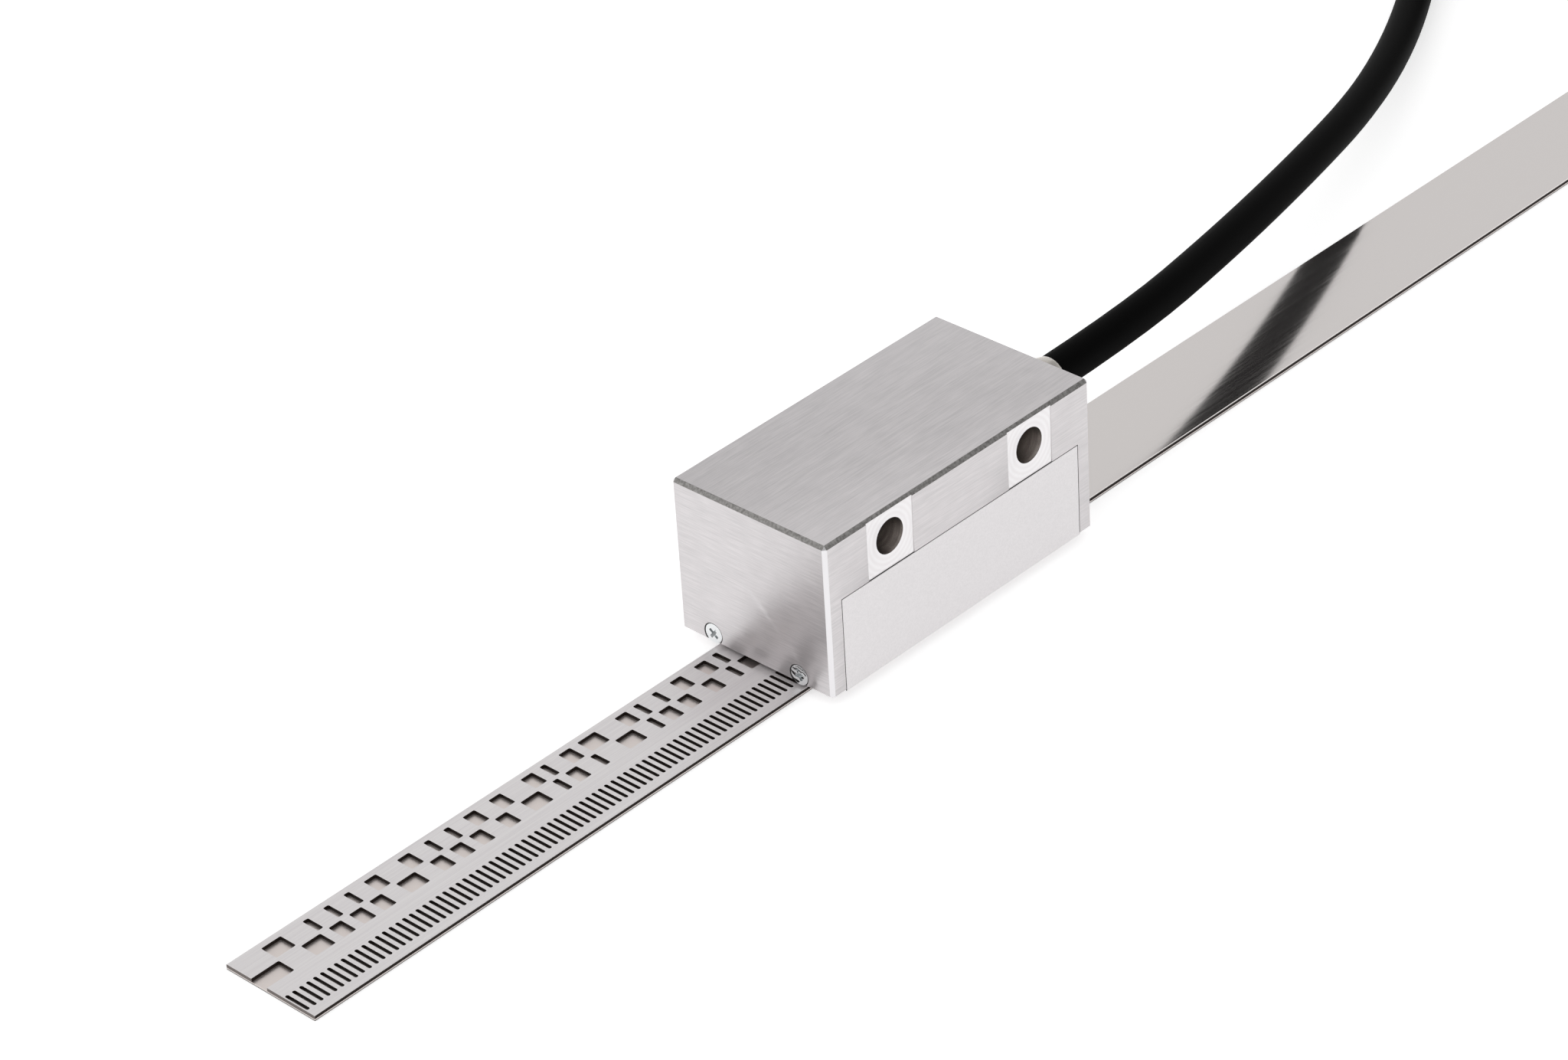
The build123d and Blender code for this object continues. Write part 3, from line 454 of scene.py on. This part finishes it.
def polished_steel():
    """Smooth stainless cover foil: nearly a mirror, so it shows the cable above it, a little veiled."""
    material, tree, shader = plain("polished_steel", "#E8E3E1", 0.1, metallic=0.96)
    # Rolling marks about 0.3 mm apart
    rolled = grain(tree, (20, 3000, 3000))
    tree.links.new(spread(tree, rolled, 0.09, 0.14), shader.inputs["Roughness"])
    return material


def jacket_black():
    """Extruded polyurethane jacket: matte black, with hardly a sheen."""
    material, tree, shader = plain("jacket_black", "#040404", 0.6)
    shader.inputs["Specular IOR Level"].default_value = 0.03
    # Fine extrusion grain about 0.25 mm across
    relief(tree, shader, grain(tree, (4000, 4000, 4000)), 0.001 * MM)
    return material


GROUND_ALUMINIUM = ground_aluminium()
BRIGHT_MILLING = bright_milling()
PAINTED_SHADE_CHAMFER = painted_shade_chamfer()
DRILLED_BORE = drilled_bore()
SATIN_FOIL = satin_foil()
SLOTTED_STEEL = slotted_steel()
POLISHED_STEEL = polished_steel()
JACKET_BLACK = jacket_black()
# Cold-rolled stainless, a plain grey line in the tape's edge
CARRIER_STEEL = plain("carrier_steel", "#C6BFBC", 0.35, metallic=1.0)[0]
# Thin clear film over that steel, which warms it where it shows at the bottom of the slots
CLEAR_BOND = plain("clear_bond", "#E9E0DC", 0.36, metallic=0.9)[0]
# Upright corner chamfers painted lighter than the faces, as a painted highlight for the bright reflection
# they show
PAINTED_HIGHLIGHT_EDGE = plain("painted_highlight_edge", "#E6E4E6", 0.35, metallic=1.0)[0]
# Countersinks painted near black as painted shade, which draws a dark ring round each screw
PAINTED_SHADE_SEAT = plain("painted_shade_seat", "#2C2A29", 0.5)[0]
# Acrylic adhesive: a dull dark line under the tape; round the foil the same colour is painted shade in the
# gap
ADHESIVE_AND_GAP_SHADE = plain("adhesive_and_gap_shade", "#1C1C1E", 0.7)[0]
# Zinc-plated screws: bright, cool and a little blurred
ZINC_PLATE = plain("zinc_plate", "#E3E5E6", 0.1, metallic=1.0)[0]
# Nickel-plated turned sleeve and screw ring: warm grey with a soft shine
NICKEL_PLATE = plain("nickel_plate", "#C9C4BE", 0.25, metallic=1.0)[0]
# Moulded nylon ties: black with a soft sheen
TIE_NYLON = plain("tie_nylon", "#0B0B0C", 0.45)[0]
# Rubbery overmoulding of the plug: black and duller than the ties
SOFT_MOULDING = plain("soft_moulding", "#0A0A0B", 0.55)[0]
# Moulded nylon contact carrier: a little greyer than the plug round it
INSERT_NYLON = plain("insert_nylon", "#202022", 0.5)[0]
# Gold-flashed contacts: warm and bright
GOLD_FLASH = plain("gold_flash", "#E2C06A", 0.2, metallic=1.0)[0]
# Moulded nitrile rubber seals: dull black
NITRILE = plain("nitrile", "#111112", 0.6)[0]
# Milled aluminium tray under the head: plain grey and softly bright
MILLED_TRAY = plain("milled_tray", "#C8C6C5", 0.35, metallic=1.0)[0]
# Glass-epoxy boards under green solder resist: deep green with a slight shine
SOLDER_RESIST = plain("solder_resist", "#1F6B3A", 0.35)[0]
# Turned brass posts and ferrule: warm yellow with a soft shine
TURNED_BRASS = plain("turned_brass", "#D2AE63", 0.25, metallic=1.0)[0]
# Moulded epoxy chips: matte near-black
BLACK_EPOXY = plain("black_epoxy", "#19191A", 0.5)[0]
# Moulded header: ivory and matte
IVORY_HEADER = plain("ivory_header", "#DAD6CB", 0.5)[0]
# Polyimide film: amber with a shine
AMBER_FILM = plain("amber_film", "#B56A1E", 0.3)[0]
# Extruded insulation of the wires: middle grey and matte
GREY_WIRES = plain("grey_wires", "#8A8A8C", 0.5)[0]


def finish_with(piece, material):
    """Gives a piece its material."""
    piece.data.materials.clear()
    piece.data.materials.append(material)


NODE_FINISHES = {
    "adhesive_strip": (ADHESIVE_AND_GAP_SHADE, "adhesive"),
    "carrier_strip": (CARRIER_STEEL, "carrier_steel"),
    "bond_film": (CLEAR_BOND, "bond_film"),
    "graduated_strip": (SLOTTED_STEEL, "graduated_steel"),
    "cover_strip": (POLISHED_STEEL, "cover_steel"),
    "tray_gasket": (NITRILE, "seal_rubber"),
    "sensor_tray": (MILLED_TRAY, "tray_aluminium"),
    "coil_board": (SOLDER_RESIST, "circuit_board"),
    "sensor_cover": (POLISHED_STEEL, "cover_steel"),
    "board_posts": (TURNED_BRASS, "brass"),
    "main_board": (SOLDER_RESIST, "circuit_board"),
    "board_screws": (ZINC_PLATE, "screw_steel"),
    "board_chips": (BLACK_EPOXY, "chip_epoxy"),
    "wire_header": (IVORY_HEADER, "header_plastic"),
    "flex_link": (AMBER_FILM, "polyimide"),
    "sleeve_seal": (NITRILE, "seal_rubber"),
    "shield_ferrule": (TURNED_BRASS, "brass"),
    "conductor_bundle": (GREY_WIRES, "wire_insulation"),
}
for node_name, (material, slot_name) in NODE_FINISHES.items():
    finish_with(nodes[node_name], material)


# Scanning head

def make_housing():
    """Block with chamfered edges, pads, label recess, cross holes, screw seats and cable bore."""
    housing = block("housing_block", HEAD_LOW, HEAD_HIGH)
    near = 0.01 * MM

    def upright_or_top(a, b):
        upright = abs(a.z - b.z) > 1 * MM
        top = a.z > HEAD_HIGH.z - near and b.z > HEAD_HIGH.z - near
        return upright or top

    def foot(a, b):
        return a.z < HEAD_LOW.z + near and b.z < HEAD_LOW.z + near

    bevel_edges(housing, upright_or_top, CHAMFER)
    bevel_edges(housing, foot, FOOT_CHAMFER)
    # How far the cutters reach past the faces
    over = 1 * MM
    tools = []
    for side in (-1, 1):
        hole_x = HEAD_X + side * HOLE_SPACING / 2
        for face_y, outward in ((HEAD_LOW.y, -1), (HEAD_HIGH.y, 1)):
            inner = face_y - outward * PAD_DEPTH
            outer = face_y + outward * over
            tools.append(block(
                "pad_cutter",
                (hole_x - PAD_WIDTH / 2, min(inner, outer), LABEL_TOP),
                (hole_x + PAD_WIDTH / 2, max(inner, outer), HEAD_HIGH.z + over),
            ))
        tools.append(rod(
            "hole_cutter",
            HOLE_RADIUS,
            (hole_x, HEAD_LOW.y - over, HOLE_Z),
            (hole_x, HEAD_HIGH.y + over, HOLE_Z),
        ))
    tools.append(block(
        "label_cutter",
        (HEAD_X - LABEL_HALF_LENGTH, HEAD_LOW.y - over, HEAD_LOW.z - over),
        (HEAD_X + LABEL_HALF_LENGTH, HEAD_LOW.y + LABEL_DEPTH, LABEL_TOP + LABEL_MARGIN),
    ))
    tools.append(block(
        "tray_cutter",
        (HEAD_LOW.x + TRAY_END_WALL, HEAD_LOW.y + TRAY_SIDE_WALL, HEAD_LOW.z - over),
        (HEAD_HIGH.x - TRAY_END_WALL, HEAD_HIGH.y - TRAY_SIDE_WALL, HEAD_LOW.z + TRAY_HEIGHT),
    ))
    tools.append(block(
        "cavity_cutter",
        (HEAD_LOW.x + CAVITY_END_WALL, HEAD_LOW.y + CAVITY_SIDE_WALL, HEAD_LOW.z + CAVITY_BOTTOM),
        (HEAD_HIGH.x - CAVITY_END_WALL, HEAD_HIGH.y - CAVITY_SIDE_WALL, HEAD_LOW.z + CAVITY_TOP),
    ))
    for face_x, outward in ((HEAD_LOW.x, -1), (HEAD_HIGH.x, 1)):
        for side in (-1, 1):
            # The cutter's wide end lies outside the wall, and its cone narrows to the screw's hole
            tools.append(turned("seat_cutter", (face_x, side * SCREW_Y, SCREW_Z), [
                (outward * 0.2 * MM, SINK_RADIUS + 0.2 * MM),
                (0, SINK_RADIUS),
                (-outward * SINK_DEPTH, SCREW_HOLE_RADIUS),
                (-outward * SCREW_HOLE_DEPTH, SCREW_HOLE_RADIUS),
            ], sides=48))
    tools.append(rod(
        "cable_cutter",
        CABLE_BORE_RADIUS,
        (HEAD_HIGH.x - CABLE_BORE_DEPTH, 0, CABLE_Z),
        (HEAD_HIGH.x + over, 0, CABLE_Z),
    ))
    cut(housing, *tools)
    soften(housing, 0.04 * MM)
    return housing


def finish_details(housing):
    """Gives the pads the milled finish, the upright corners a painted highlight, the top chamfers painted
    shade, the cross holes the drilled finish and the screws' seats painted shade."""
    for material in (BRIGHT_MILLING, PAINTED_SHADE_CHAMFER, DRILLED_BORE, PAINTED_HIGHLIGHT_EDGE, PAINTED_SHADE_SEAT):
        housing.data.materials.append(material)
    # Places in the housing's list of materials, where the ground finish comes first
    milled, broken, drilled, bright, shaded = range(1, 6)
    slack = 0.02 * MM
    for face in housing.data.polygons:
        place = face.center
        aside = abs(abs(place.x - HEAD_X) - HOLE_SPACING / 2)
        level = abs(face.normal.y) > 0.9
        in_pad = HEAD_HIGH.y - PAD_DEPTH - slack < abs(place.y) < HEAD_HIGH.y - PAD_DEPTH + slack
        from_screw = math.hypot(abs(place.y) - SCREW_Y, place.z - SCREW_Z)
        if from_screw < SINK_RADIUS + slack and abs(face.normal.x) < 0.9:
            face.material_index = shaded
        elif level and in_pad and aside < PAD_WIDTH / 2 and place.z > LABEL_TOP + slack:
            face.material_index = milled
        elif abs(face.normal.x) > 0.5 and abs(face.normal.y) > 0.5:
            face.material_index = bright
        elif place.z > HEAD_HIGH.z - CHAMFER and 0.4 < face.normal.z < 0.9:
            face.material_index = broken
        elif math.hypot(aside, place.z - HOLE_Z) < HOLE_RADIUS + slack and not level:
            face.material_index = drilled


def make_end_screws():
    """Four countersunk screws with cross recesses."""
    recess = (0.5 * MM, 0.2 * MM, 0.75 * MM)
    screws = []
    for face_x, outward in ((HEAD_LOW.x, -1), (HEAD_HIGH.x, 1)):
        for side in (-1, 1):
            centre = Vector((face_x, side * SCREW_Y, SCREW_Z))
            # Tip, shank, cone, rounded rim and flat face
            screw = turned("end_screw", centre, [
                (-outward * 5.8 * MM, 0.6 * MM),
                (-outward * 5.6 * MM, SHANK_RADIUS),
                (-outward * 0.63 * MM, SHANK_RADIUS),
                (-outward * 0.12 * MM, SCREW_RADIUS - 0.04 * MM),
                (-outward * 0.07 * MM, SCREW_RADIUS - 0.06 * MM),
                (-outward * 0.05 * MM, SCREW_RADIUS - 0.2 * MM),
                (-outward * 0.05 * MM, 0.3 * MM),
            ], sides=40)
            # Cross recess, turned a little differently in each screw as the driver left it
            recess_angle = math.radians(24 + 31 * side + 17 * outward)
            for arm in (0, math.pi / 2):
                tool = block("driver", [-half for half in recess], recess)
                tool.rotation_euler = (recess_angle + arm, 0, 0)
                tool.location = centre
                settle(tool)
                cut(screw, tool)
            screws.append(screw)
    screws = join("countersunk_screws", screws)
    bpy.ops.object.shade_smooth_by_angle(angle=SHARP_ANGLE)
    return screws


def make_sleeve():
    """Turned tube round the cable, with a rounded nose."""
    return turned("outlet_sleeve", (HEAD_HIGH.x, 0, CABLE_Z), [
        (SLEEVE_INNER_END, SLEEVE_BORE),
        (SLEEVE_INNER_END, SLEEVE_RADIUS),
        (4.4 * MM, SLEEVE_RADIUS),
        (5.0 * MM, 2.87 * MM),
        (5.6 * MM, 2.78 * MM),
        (6.1 * MM, 2.68 * MM),
        (6.5 * MM, 2.57 * MM),
        (6.75 * MM, 2.5 * MM),
        (6.8 * MM, 2.45 * MM),
        (6.7 * MM, SLEEVE_BORE),
        (SLEEVE_INNER_END, SLEEVE_BORE),
    ], tube=True)


housing = make_housing()
finish_with(housing, GROUND_ALUMINIUM)
finish_details(housing)
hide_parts("housing")
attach(housing, "scan_head")

label_low, label_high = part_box("label_foil")
label = block("blank_label", label_low, label_high)
soften(label, 0.02 * MM, segments=1)
finish_with(label, SATIN_FOIL)
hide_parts("label_foil")
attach(label, "scan_head")

# Painted shade for the gap round the foil: a thin dark sheet at the gap's bottom, which shows as a dark line
# round it
label_gap = 0.09 * MM
gap_shade_depth = 0.04 * MM
label_gap_shade = block(
    "label_gap_shade",
    (label_low[0] - label_gap, label_high[1] - gap_shade_depth, label_low[2]),
    (label_high[0] + label_gap, label_high[1], label_high[2] + label_gap),
)
finish_with(label_gap_shade, ADHESIVE_AND_GAP_SHADE)
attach(label_gap_shade, "scan_head")

screws = make_end_screws()
finish_with(screws, ZINC_PLATE)
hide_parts("end_screws")
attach(screws, "scan_head")

sleeve = make_sleeve()
finish_with(sleeve, NICKEL_PLATE)
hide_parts("cable_sleeve")
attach(sleeve, "scan_head")


# Cable, hank and ties

# Places of the hank and the plug in millimetres: where the folds' centres lie, and the folds' radii
HANK_START = 131.6
HANK_END = 177.6
HANK_Y = 31.8
INNER_FOLD = 14.4
OUTER_FOLD = 19.2
LOWER_LAYER = 2.9
UPPER_LAYER = 7.7
TAIL_LENGTH = 28.0
PLUG_Y = 50.4
PLUG_Z = 7.2
# Points of the route in each fold and each straight pass
FOLD_STEPS = 12
PASS_STEPS = 6

# Route up to the hank in millimetres, as in the part's source
cable_route = [
    (-38.35, 0.0, 14.35),
    (-17.5, 0.0, 14.35),
    (8.0, 4.9, 12.9),
    (32.0, 11.4, 10.6),
    (55.0, 19.0, 7.7),
    (76.5, 28.9, 5.0),
    (96.5, 40.3, 3.3),
    (113.0, 51.0, 2.9),
]


def ease(share):
    """Share of a change that starts and ends gently."""
    return (1 - math.cos(math.pi * share)) / 2


def pass_along(start_x, end_x, y, start_z, end_z):
    """Straight pass of the hank. A change of layer is made in its second half, past the tie."""
    for step in range(PASS_STEPS):
        share = step / PASS_STEPS
        rise = ease(max(0.0, share * 2 - 1))
        yield (start_x + (end_x - start_x) * share, y, start_z + (end_z - start_z) * rise)


def fold_round(centre_x, start_angle, start_radius, end_radius, z):
    """Half turn clockwise round one end of the hank."""
    for step in range(FOLD_STEPS):
        share = step / FOLD_STEPS
        radius = start_radius + (end_radius - start_radius) * ease(share)
        angle = start_angle - math.pi * share
        yield (centre_x + radius * math.cos(angle), HANK_Y + radius * math.sin(angle), z)


# Each turn of the hank: fold radius and layer on the way out, then on the way back
HANK_TURNS = (
    (OUTER_FOLD, LOWER_LAYER, OUTER_FOLD, LOWER_LAYER),
    (INNER_FOLD, LOWER_LAYER, INNER_FOLD, UPPER_LAYER),
    (INNER_FOLD, UPPER_LAYER, OUTER_FOLD, UPPER_LAYER),
)
for number, (out_fold, out_layer, back_fold, back_layer) in enumerate(HANK_TURNS, start=1):
    next_fold = HANK_TURNS[number][0] if number < len(HANK_TURNS) else OUTER_FOLD
    cable_route += pass_along(HANK_START, HANK_END, HANK_Y + out_fold, out_layer, out_layer)
    cable_route += fold_round(HANK_END, math.pi / 2, out_fold, back_fold, out_layer)
    cable_route += pass_along(HANK_END, HANK_START, HANK_Y - back_fold, out_layer, back_layer)
    cable_route += fold_round(HANK_START, -math.pi / 2, back_fold, next_fold, back_layer)
cable_route += pass_along(HANK_START, HANK_END, HANK_Y + OUTER_FOLD, UPPER_LAYER, UPPER_LAYER)
cable_route += [
    (HANK_END, HANK_Y + OUTER_FOLD, UPPER_LAYER),
    (HANK_END + TAIL_LENGTH / 3, HANK_Y + OUTER_FOLD, UPPER_LAYER),
    (HANK_END + TAIL_LENGTH * 2 / 3, PLUG_Y, PLUG_Z),
    (HANK_END + TAIL_LENGTH, PLUG_Y, PLUG_Z),
]

curve = bpy.data.curves.new("cable", "CURVE")
curve.dimensions = "3D"
curve.resolution_u = 6
curve.bevel_depth = CABLE_RADIUS
curve.bevel_resolution = 7
curve.use_fill_caps = True
spline = curve.splines.new("NURBS")
spline.points.add(len(cable_route) - 1)
for point, place in zip(spline.points, cable_route):
    point.co = (*(Vector(place) * MM), 1.0)
spline.order_u = 3
spline.use_endpoint_u = True
cable = bpy.data.objects.new("cable", curve)
bpy.context.collection.objects.link(cable)
finish_with(cable, JACKET_BLACK)
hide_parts("cable_run", "cable_hank", "cable_tail")
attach(cable, "scan_head")


def make_ties():
    """Two nylon bands, each with its ratchet box and a short cut tail lying along the top."""
    ties = []
    low, high = (Vector(corner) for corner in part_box("hank_ties"))
    wide = high.x - low.x
    band = 0.5 * MM
    corner = 2.4 * MM
    section = high.z - low.z
    for start_y in (low.y, high.y - section):
        outer = block("tie", (low.x, start_y, low.z), (high.x, start_y + section, high.z))
        bevel_edges(outer, runs_along_x, corner, segments=6)
        inner = block(
            "tie_hole",
            (low.x - wide, start_y + band, low.z + band),
            (high.x + wide, start_y + section - band, high.z - band),
        )
        bevel_edges(inner, runs_along_x, corner - band, segments=6)
        cut(outer, inner)
        soften(outer, 0.1 * MM)
        # The lock's corners are millimetres from the middle of the band's top
        middle = Vector(((low.x + high.x) / 2, start_y + section / 2, high.z))
        lock = block(
            "ratchet_box",
            middle + Vector((-3.2, -3.0, -0.1)) * MM,
            middle + Vector((3.2, 3.0, 2.9)) * MM,
        )
        slot = block(
            "ratchet_slot",
            middle + Vector((-2.6, -4.0, 0.7)) * MM,
            middle + Vector((2.6, 4.0, 2.0)) * MM,
        )
        cut(lock, slot)
        soften(lock, 0.3 * MM)
        tongue = block(
            "cut_tongue",
            middle + Vector((-2.3, -4.4, 0.8)) * MM,
            middle + Vector((2.3, 4.6, 1.8)) * MM,
        )
        soften(tongue, 0.12 * MM)
        ties += [outer, lock, tongue]
    return join("hank_bands", ties)


ties = make_ties()
finish_with(ties, TIE_NYLON)
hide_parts("hank_ties")
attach(ties, "scan_head")


# Round plug

PLUG_REAR = Vector(((HANK_END + TAIL_LENGTH) * MM, PLUG_Y * MM, PLUG_Z * MM))

# Sizes of the plug in millimetres: distances run from its rear end, and an axis is given by its radius
GROOVE_COUNT = 3
GROOVE_START = 2.05
GROOVE_PITCH = 3.25
GROOVE_WIDTH = 1.2
GROOVE_FLOOR = 2.95
RELIEF_TAPER = 0.092
FLUTE_COUNT = 8
FLUTE_AXIS = 6.6
FLUTE_RADIUS = 1.2
FLUTE_START, FLUTE_END = 15.0, 25.6
NOTCH_COUNT = 20
NOTCH_AXIS = 7.35
NOTCH_RADIUS = 0.62
NOTCH_START, NOTCH_END = 27.0, 35.2
RING_START, RING_END = 27.1, 42.6
RING_BORE = 5.0
THREAD_TURNS = 6
THREAD_START = 36.9
THREAD_ROOT, THREAD_CREST = 5.5, 5.97
PIN_COUNT = 7
PIN_CIRCLE = 2.75


def in_metres(stations):
    """Stations of a turned piece that are given in millimetres."""
    return [(along * MM, radius * MM) for along, radius in stations]


def make_plug_body():
    """Moulded body: tapered strain relief with three grooves, fluted grip and plain neck."""
    stations = [(0, 3.4), (0.3, 3.6)]
    for groove in range(GROOVE_COUNT):
        rear = GROOVE_START + GROOVE_PITCH * groove
        front = rear + GROOVE_WIDTH
        outer = 3.6 + rear * RELIEF_TAPER
        stations += [(rear, outer), (rear, GROOVE_FLOOR), (front, GROOVE_FLOOR), (front, outer + 0.11)]
    stations += [(12.6, 4.76), (13.0, 5.2), (13.5, 5.75), (14.2, 5.9)]
    stations += [(26.4, 5.9), (27.0, 5.6), (27.0, 4.9), (34.0, 4.9)]
    body = turned("plug_body", PLUG_REAR, in_metres(stations), sides=96)
    soften(body, 0.08 * MM)
    flutes = []
    for number in range(FLUTE_COUNT):
        angle = math.tau * number / FLUTE_COUNT
        away = Vector((0, math.cos(angle), math.sin(angle))) * FLUTE_AXIS * MM
        flutes.append(rod(
            "flute",
            FLUTE_RADIUS * MM,
            PLUG_REAR + away + Vector((FLUTE_START * MM, 0, 0)),
            PLUG_REAR + away + Vector((FLUTE_END * MM, 0, 0)),
            sides=24,
        ))
    cut(body, *flutes)
    bpy.ops.object.shade_smooth_by_angle(angle=SHARP_ANGLE)
    return body


def make_screw_ring():
    """Nickel-plated screw ring: grooved grip, then a threaded sleeve with a bore for the contacts."""
    stations = [(RING_START, RING_BORE), (RING_START, 6.7), (27.5, 7.17), (35.7, 7.17), (36.1, 6.7)]
    stations.append((36.1, THREAD_ROOT))
    # Thread of 1 mm pitch, drawn as rings
    for number in range(THREAD_TURNS):
        crest = THREAD_START + number
        stations += [(crest - 0.45, THREAD_ROOT), (crest - 0.1, THREAD_CREST)]
        stations += [(crest + 0.1, THREAD_CREST), (crest + 0.45, THREAD_ROOT)]
    stations += [(RING_END, 5.4), (RING_END, RING_BORE), (RING_START, RING_BORE)]
    ring = turned("screw_ring", PLUG_REAR, in_metres(stations), sides=80, tube=True)
    notches = []
    for number in range(NOTCH_COUNT):
        angle = math.tau * number / NOTCH_COUNT
        away = Vector((0, math.sin(angle), math.cos(angle))) * NOTCH_AXIS * MM
        notches.append(rod(
            "notch",
            NOTCH_RADIUS * MM,
            PLUG_REAR + away + Vector((NOTCH_START * MM, 0, 0)),
            PLUG_REAR + away + Vector((NOTCH_END * MM, 0, 0)),
            sides=12,
        ))
    cut(ring, *notches)
    soften(ring, 0.05 * MM, segments=1)
    return ring


def make_insert():
    """Contact carrier with its coding key."""
    stations = [(28.0, 3.4), (34.0, 3.4), (34.0, 4.3), (38.2, 4.3), (38.5, 4.1)]
    insert = turned("contact_carrier", PLUG_REAR, in_metres(stations))
    key = block(
        "coding_key",
        PLUG_REAR + Vector((34.0, -0.5, 4.0)) * MM,
        PLUG_REAR + Vector((38.4, 0.5, 4.78)) * MM,
    )
    soften(key, 0.08 * MM)
    return join("contact_carrier", [insert, key])


def make_pins():
    """Seven gold-flashed pins on a circle and one in the middle, with rounded tips."""
    pins = []
    stations = [(35.0, 0.4), (41.8, 0.4), (42.05, 0.33), (42.2, 0.18)]
    places = [(0.0, 0.0)]
    for number in range(PIN_COUNT):
        angle = math.tau * (number + 0.5) / PIN_COUNT
        places.append((PIN_CIRCLE * math.cos(angle), PIN_CIRCLE * math.sin(angle)))
    for up, aside in places:
        centre = PLUG_REAR + Vector((0, aside, up)) * MM
        pins.append(turned("pin", centre, in_metres(stations), sides=20))
    return join("pins", pins)


plug_body = make_plug_body()
finish_with(plug_body, SOFT_MOULDING)
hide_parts("connector_body")
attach(plug_body, "scan_head")

contact_carrier = make_insert()
finish_with(contact_carrier, INSERT_NYLON)
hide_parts("connector_insert")
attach(contact_carrier, "scan_head")

pins = make_pins()
finish_with(pins, GOLD_FLASH)
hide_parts("contact_pins")
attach(pins, "scan_head")

screw_ring = make_screw_ring()
finish_with(screw_ring, NICKEL_PLATE)
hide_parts("coupling_ring")
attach(screw_ring, "screw_ring")


# Camera, floor and light

camera_data = bpy.data.cameras.new("camera")
camera_data.lens = CAMERA_LENS
camera_data.sensor_width = 36
camera_data.sensor_fit = "HORIZONTAL"
camera_data.clip_start = 0.01
camera = bpy.data.objects.new("camera", camera_data)
bpy.context.collection.objects.link(camera)
camera_right = (CAMERA_RIGHT - CAMERA_FORWARD * CAMERA_RIGHT.dot(CAMERA_FORWARD)).normalized()
camera_up = camera_right.cross(CAMERA_FORWARD)
camera_turn = Matrix((camera_right, camera_up, -CAMERA_FORWARD)).transposed().to_4x4()
camera.matrix_world = Matrix.Translation(CAMERA_PLACE) @ camera_turn
bpy.context.scene.camera = camera

clear_selection()
bpy.ops.mesh.primitive_plane_add(size=6, location=(0, 0, 0))
floor = bpy.context.object
floor.name = "floor"
floor_material, floor_tree, floor_shader = plain("floor_white", "#F4F4F4", 0.9)
light_path = add_node(floor_tree, "ShaderNodeLightPath")
seen = add_node(
    floor_tree,
    "ShaderNodeMath",
    [(0, light_path.outputs["Is Camera Ray"]), (1, light_path.outputs["Is Glossy Ray"])],
    operation="MAXIMUM",
)
# Light added to the floor for the eye and for reflections, so that it reads white behind the object
lift = add_node(
    floor_tree,
    "ShaderNodeMath",
    [(0, seen.outputs[0]), (1, 0.5)],
    operation="MULTIPLY",
)
glow = add_node(
    floor_tree,
    "ShaderNodeEmission",
    [("Color", (1, 1, 1, 1)), ("Strength", lift.outputs[0])],
)
together = add_node(
    floor_tree,
    "ShaderNodeAddShader",
    [(0, floor_shader.outputs["BSDF"]), (1, glow.outputs["Emission"])],
)
floor_tree.links.new(together.outputs[0], floor_tree.nodes["Material Output"].inputs["Surface"])
floor.data.materials.append(floor_material)

# White studio walls low down, which grow dimmer towards the ceiling
world = bpy.data.worlds.new("studio")
world.use_nodes = True
studio_tree = world.node_tree
studio_light = studio_tree.nodes["Background"]
studio_light.inputs["Color"].default_value = (1, 1, 1, 1)
skyward = add_node(studio_tree, "ShaderNodeTexCoord").outputs["Generated"]
height = add_node(studio_tree, "ShaderNodeSeparateXYZ", [("Vector", skyward)])
dimming = add_node(studio_tree, "ShaderNodeMapRange", [
    ("Value", height.outputs["Z"]),
    ("From Min", 0.0),
    ("From Max", 0.45),
    ("To Min", 0.95),
    ("To Max", 0.42),
])
studio_tree.links.new(dimming.outputs["Result"], studio_light.inputs["Strength"])
bpy.context.scene.world = world


def softbox(name, place, size, power):
    """Square area light facing the head. Its place and size are in metres and its power in watts."""
    data = bpy.data.lights.new(name, "AREA")
    data.size = size
    data.energy = power
    lamp = bpy.data.objects.new(name, data)
    bpy.context.collection.objects.link(lamp)
    place = Vector(place)
    aim = Vector((HEAD_X, 0, 0.01)) - place
    lamp.matrix_world = Matrix.Translation(place) @ aim.to_track_quat("-Z", "Y").to_matrix().to_4x4()


# Wide and weak overhead, so that the polished strip doesn't vanish in it when it is seen from above
softbox("overhead", (0.03, -0.05, 0.7), 1.2, 1.8)
# Two wide lights behind the object, which its level faces and the tape's reflections show
softbox("backdrop", (1.1, 1.1, 1.05), 1.6, 2.4)
softbox("left backdrop", (-1.1, 1.1, 1.05), 1.6, 5.0)

bpy.context.scene.view_settings.view_transform = "Standard"
